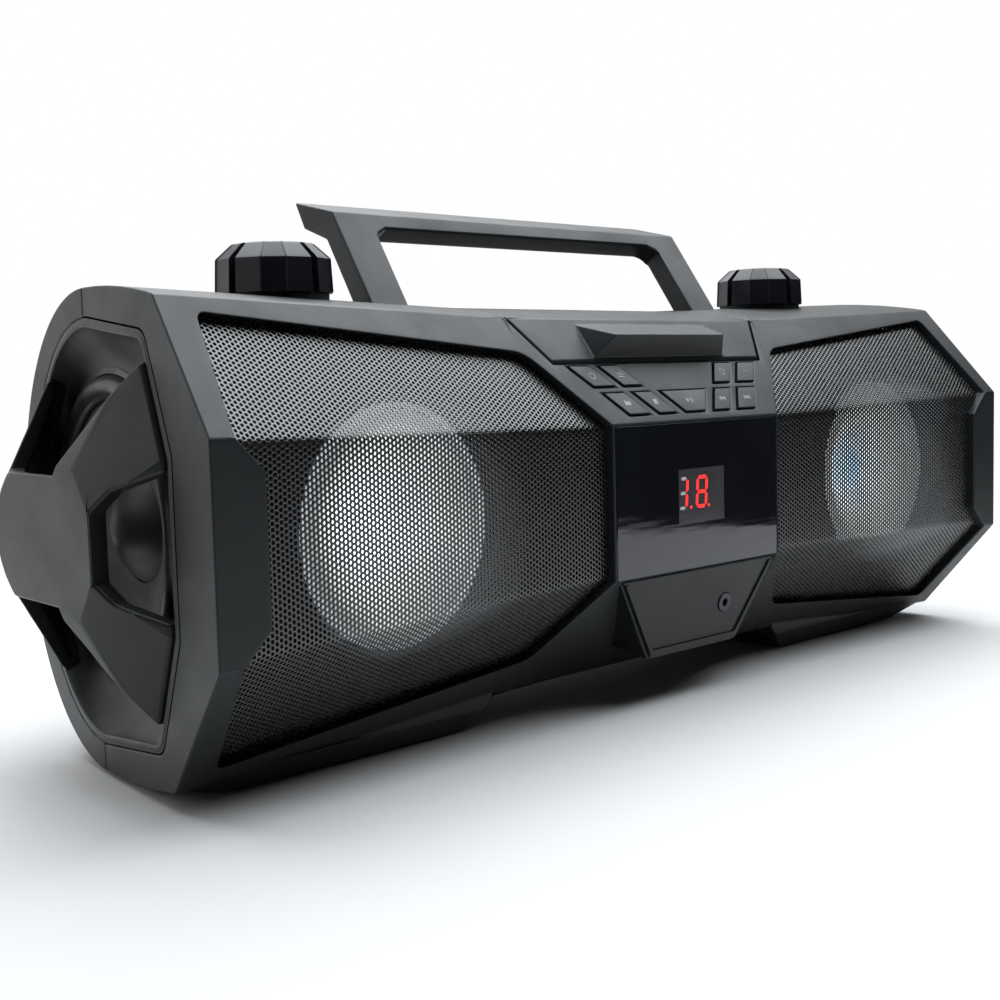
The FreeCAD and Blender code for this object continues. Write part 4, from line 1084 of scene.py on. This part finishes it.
class BOOMBOX_OT_socket(bpy.types.Operator):
    """The socket panel with its raised lip and the audio jack"""

    bl_idname = "boombox.socket"
    bl_label = "Socket panel"

    def execute(self, context):
        cover("socket_plate", "socket_panel", "socket", 0.0005, 2, "cabinet", "panel_plastic")
        cover("audio_jack_ring", "audio_jack", "screw", 0.0003, 2, "cabinet", "steel")
        rim = plates([self.rim()], chin_place, -0.2, 0.8)
        round_edges(rim, 0.4 * MM, 3, 30.0)
        own(settle("socket_rim", rim, "socket"), "cabinet", "panel_plastic")
        return {"FINISHED"}

    def rim(self):
        """A U along the sides and the bottom of the tongue, as x and distance down it."""
        low = chin_length()
        outer, inner = 2.7, 5.0
        right = [(chin_half(1.5) - outer, 1.5), (chin_half(low - 1.5) - outer, low - 1.5)]
        left = [(-x, v) for x, v in reversed(right)]
        hollow = [(chin_half(1.5) - inner, 1.5), (chin_half(low - 4.2) - inner, low - 4.2)]
        outline = right + left + [(-x, v) for x, v in hollow] + hollow[::-1]
        return softened(outline, [0.0, 3.5, 3.5, 0.0, 0.0, 2.0, 2.0, 0.0])


class BOOMBOX_OT_handle(bpy.types.Operator):
    """The fixed carrying handle"""

    bl_idname = "boombox.handle"
    bl_label = "Handle"

    def execute(self, context):
        cover("carrying_handle", "handle", "shell", 0.0011, 3, "cabinet", "cabinet_plastic")
        return {"FINISHED"}


class BOOMBOX_OT_feet(bpy.types.Operator):
    """Rubber pads under the feet"""

    bl_idname = "boombox.feet"
    bl_label = "Foot pads"

    def execute(self, context):
        cover("rubber_pads", "foot_pads", "pad", 0.0004, 2, "cabinet", "rubber")
        return {"FINISHED"}


class BOOMBOX_OT_back(bpy.types.Operator):
    """Battery door with grip ribs, screws, mains inlet and aerial"""

    bl_idname = "boombox.back"
    bl_label = "Back"

    def execute(self, context):
        cover("battery_cover", "battery_door", "shell", 0.0006, 2, "battery_door",
              "cabinet_plastic")
        ribs = [oblong(-14.0, 14.0, z - 0.5, z + 0.5) for z in (104.5, 107.0, 109.5, 112.0)]
        grip = plates(ribs, back_place, -0.4, 0.6)
        round_edges(grip, 0.25 * MM, 2, 30.0)
        own(settle("battery_cover_grip", grip, "shell"), "battery_door", "cabinet_plastic")
        cover("case_screws", "cabinet_screws", "screw", 0.0003, 2, "cabinet", "steel")
        for z in SCREW_Z:
            self.slots(z)
        cover("mains_inlet", "power_inlet", "inner", 0.0004, 2, "cabinet", "inner_plastic")
        cover("aerial_block", "aerial_mount", "shell", 0.0005, 2, "cabinet", "cabinet_plastic")
        self.aerial()
        dress("battery_case", "inner")
        dress("main_board", "board")
        return {"FINISHED"}

    def aerial(self):
        """Three telescopic tubes and a tip, folded along the back, on a drilled foot."""
        x, y, z = AERIAL_FOOT
        tubes = [(0.0, 0.0), (3.2, 0.0), (3.2, 111.8), (2.7, 112.2), (2.7, 224.0), (2.2, 224.4),
                 (2.2, 316.6), (2.9, 317.0), (3.2, 317.6), (3.2, 324.8), (2.6, 325.7), (0.0, 325.7)]
        along = Matrix.Translation(Vector((x - 4.0, y, z)) * MM) @ Matrix.Rotation(math.pi / 2, 4, "Z")
        rod = settle("aerial_rod", turned(tubes, along, 48), "bright", 30.0)
        own(rod, "aerial", "steel", "aerial")
        foot = [(2.1, 0.3), (2.4, 0.0), (5.6, 0.0), (6.0, 0.4), (6.0, 7.0), (5.6, 7.4), (2.4, 7.4),
                (2.1, 7.1)]
        spot = Matrix.Translation(Vector((x, y - 3.8, z)) * MM)
        own(settle("aerial_foot", turned(foot, spot, 48, closed=True), "bright", 30.0),
            "aerial", "steel")

    def slots(self, z):
        """A flat dark cross on each screw head of one row, painted shade for the recessed slot."""
        head = back_y(z) - SCREW_SINK
        bars = []
        for x in SCREW_X:
            for wide, high in ((1.9, 0.35), (0.35, 1.9)):
                bars.append(oblong(x - wide, x + wide, z - high, z + high))
        # The dark crosses paint the shade in the slots; they are flat plates, not recesses.
        work = plates(bars, lambda u, v, lift: (u, head + lift, v), -0.1, 0.05)
        own(settle(f"screw_slot_shade_{int(z)}", work, "inner", 30.0, False), "cabinet", "steel")


class BOOMBOX_OT_stage(bpy.types.Operator):
    """Pale floor, soft light and the camera"""

    bl_idname = "boombox.stage"
    bl_label = "Stage"

    def execute(self, context):
        stage = bpy.context.scene.boombox_stage
        self.floor()
        self.surround(stage.surround)
        self.softbox("overhead_softbox", (0.35, 0.15, 1.4), (0.05, 0.0, 0.1), 2.2, stage.overhead)
        self.softbox("side_softbox", (-1.6, 0.5, 0.7), (-0.2, 0.0, 0.1), 1.0, stage.side)
        self.camera()
        return {"FINISHED"}

    def floor(self):
        work = bmesh.new()
        bmesh.ops.create_circle(work, cap_ends=True, segments=96, radius=FLOOR_R)
        mesh = bpy.data.meshes.new("studio_floor")
        work.to_mesh(mesh)
        work.free()
        recipe = Recipe("studio_floor")
        recipe.tint(recipe.noise(2.0), (0.64, 0.64, 0.65), (0.67, 0.67, 0.67), 0.0, 1.0)
        recipe.set(Roughness=0.65)
        mesh.materials.append(recipe.material)
        floor = bpy.data.objects.new("studio_floor", mesh)
        bpy.context.scene.collection.objects.link(floor)

    def surround(self, strength):
        """White where it is seen, and bright behind and dark in front where it lights the object."""
        world = bpy.data.worlds.new("studio")
        world.use_nodes = True
        tree = world.node_tree
        back = tree.nodes["Background"]
        where = tree.nodes.new("ShaderNodeTexCoord")
        parts = tree.nodes.new("ShaderNodeSeparateXYZ")
        tree.links.new(where.outputs["Generated"], parts.inputs[0])
        behind = tree.nodes.new("ShaderNodeMapRange")
        set_range(behind, 0.05, 0.9, 0.02 * strength, 0.95 * strength)
        tree.links.new(parts.outputs["Y"], behind.inputs["Value"])
        path = tree.nodes.new("ShaderNodeLightPath")
        choose = tree.nodes.new("ShaderNodeMix")
        tree.links.new(path.outputs["Is Camera Ray"], choose.inputs[0])
        tree.links.new(behind.outputs["Result"], choose.inputs[2])
        choose.inputs[3].default_value = 1.0
        tree.links.new(choose.outputs[0], back.inputs["Strength"])
        back.inputs["Color"].default_value = (1.0, 1.0, 1.0, 1.0)
        bpy.context.scene.world = world
        bpy.context.scene.view_settings.view_transform = "Standard"

    def softbox(self, name, spot, aim, size, power):
        light = bpy.data.lights.new(name, "AREA")
        light.shape = "SQUARE"
        light.size = size
        light.energy = power
        light.color = (0.93, 0.97, 1.0)
        lamp_object = bpy.data.objects.new(name, light)
        lamp_object.location = spot
        lamp_object.visible_camera = False
        lamp_object.rotation_mode = "QUATERNION"
        lamp_object.rotation_quaternion = (Vector(aim) - Vector(spot)).to_track_quat("-Z", "Y")
        bpy.context.scene.collection.objects.link(lamp_object)

    def camera(self):
        lens = bpy.data.cameras.new("viewpoint")
        lens.lens = LENS
        lens.sensor_width = SENSOR
        lens.clip_start = 0.02
        lens.clip_end = 60.0
        eye = bpy.data.objects.new("viewpoint", lens)
        bpy.context.scene.collection.objects.link(eye)
        yaw, pitch, roll = (math.radians(part) for part in EYE_TURN)
        turn = Matrix.Rotation(-yaw, 4, "Z") @ Matrix.Rotation(math.pi / 2 - pitch, 4, "X")
        turn = turn @ Matrix.Rotation(roll, 4, "Z")
        eye.matrix_world = Matrix.Translation(EYE) @ turn
        bpy.context.scene.camera = eye


GROUPS = {"boombox_finish": BoomboxFinish, "boombox_mesh": BoomboxMesh,
          "boombox_edges": BoomboxEdges, "boombox_stage": BoomboxStage}
PIECES = (BOOMBOX_OT_stage, BOOMBOX_OT_cabinet, BOOMBOX_OT_speaker_mesh, BOOMBOX_OT_drivers,
          BOOMBOX_OT_radiators, BOOMBOX_OT_guards, BOOMBOX_OT_knobs, BOOMBOX_OT_lid,
          BOOMBOX_OT_keys, BOOMBOX_OT_display, BOOMBOX_OT_socket, BOOMBOX_OT_handle,
          BOOMBOX_OT_feet, BOOMBOX_OT_back)


class BOOMBOX_PT_pieces(bpy.types.Panel):
    """Lists the pieces of the boombox"""

    bl_idname = "BOOMBOX_PT_pieces"
    bl_label = "Boombox"
    bl_space_type = "VIEW_3D"
    bl_region_type = "UI"
    bl_category = "Boombox"

    def draw(self, context):
        for group, kind in GROUPS.items():
            for setting in kind.__annotations__:
                self.layout.prop(getattr(context.scene, group), setting)
        for piece in PIECES:
            self.layout.operator(piece.bl_idname)


def register():
    for kind in (*GROUPS.values(), *PIECES, BOOMBOX_PT_pieces):
        bpy.utils.register_class(kind)
    for name, kind in GROUPS.items():
        setattr(bpy.types.Scene, name, PointerProperty(type=kind))


def unregister():
    for name in GROUPS:
        delattr(bpy.types.Scene, name)
    for kind in (BOOMBOX_PT_pieces, *reversed(PIECES), *reversed(GROUPS.values())):
        bpy.utils.unregister_class(kind)


def main():
    register()
    for piece in PIECES:
        group, name = piece.bl_idname.split(".")
        getattr(getattr(bpy.ops, group), name)()


if __name__ == "__main__":
    main()
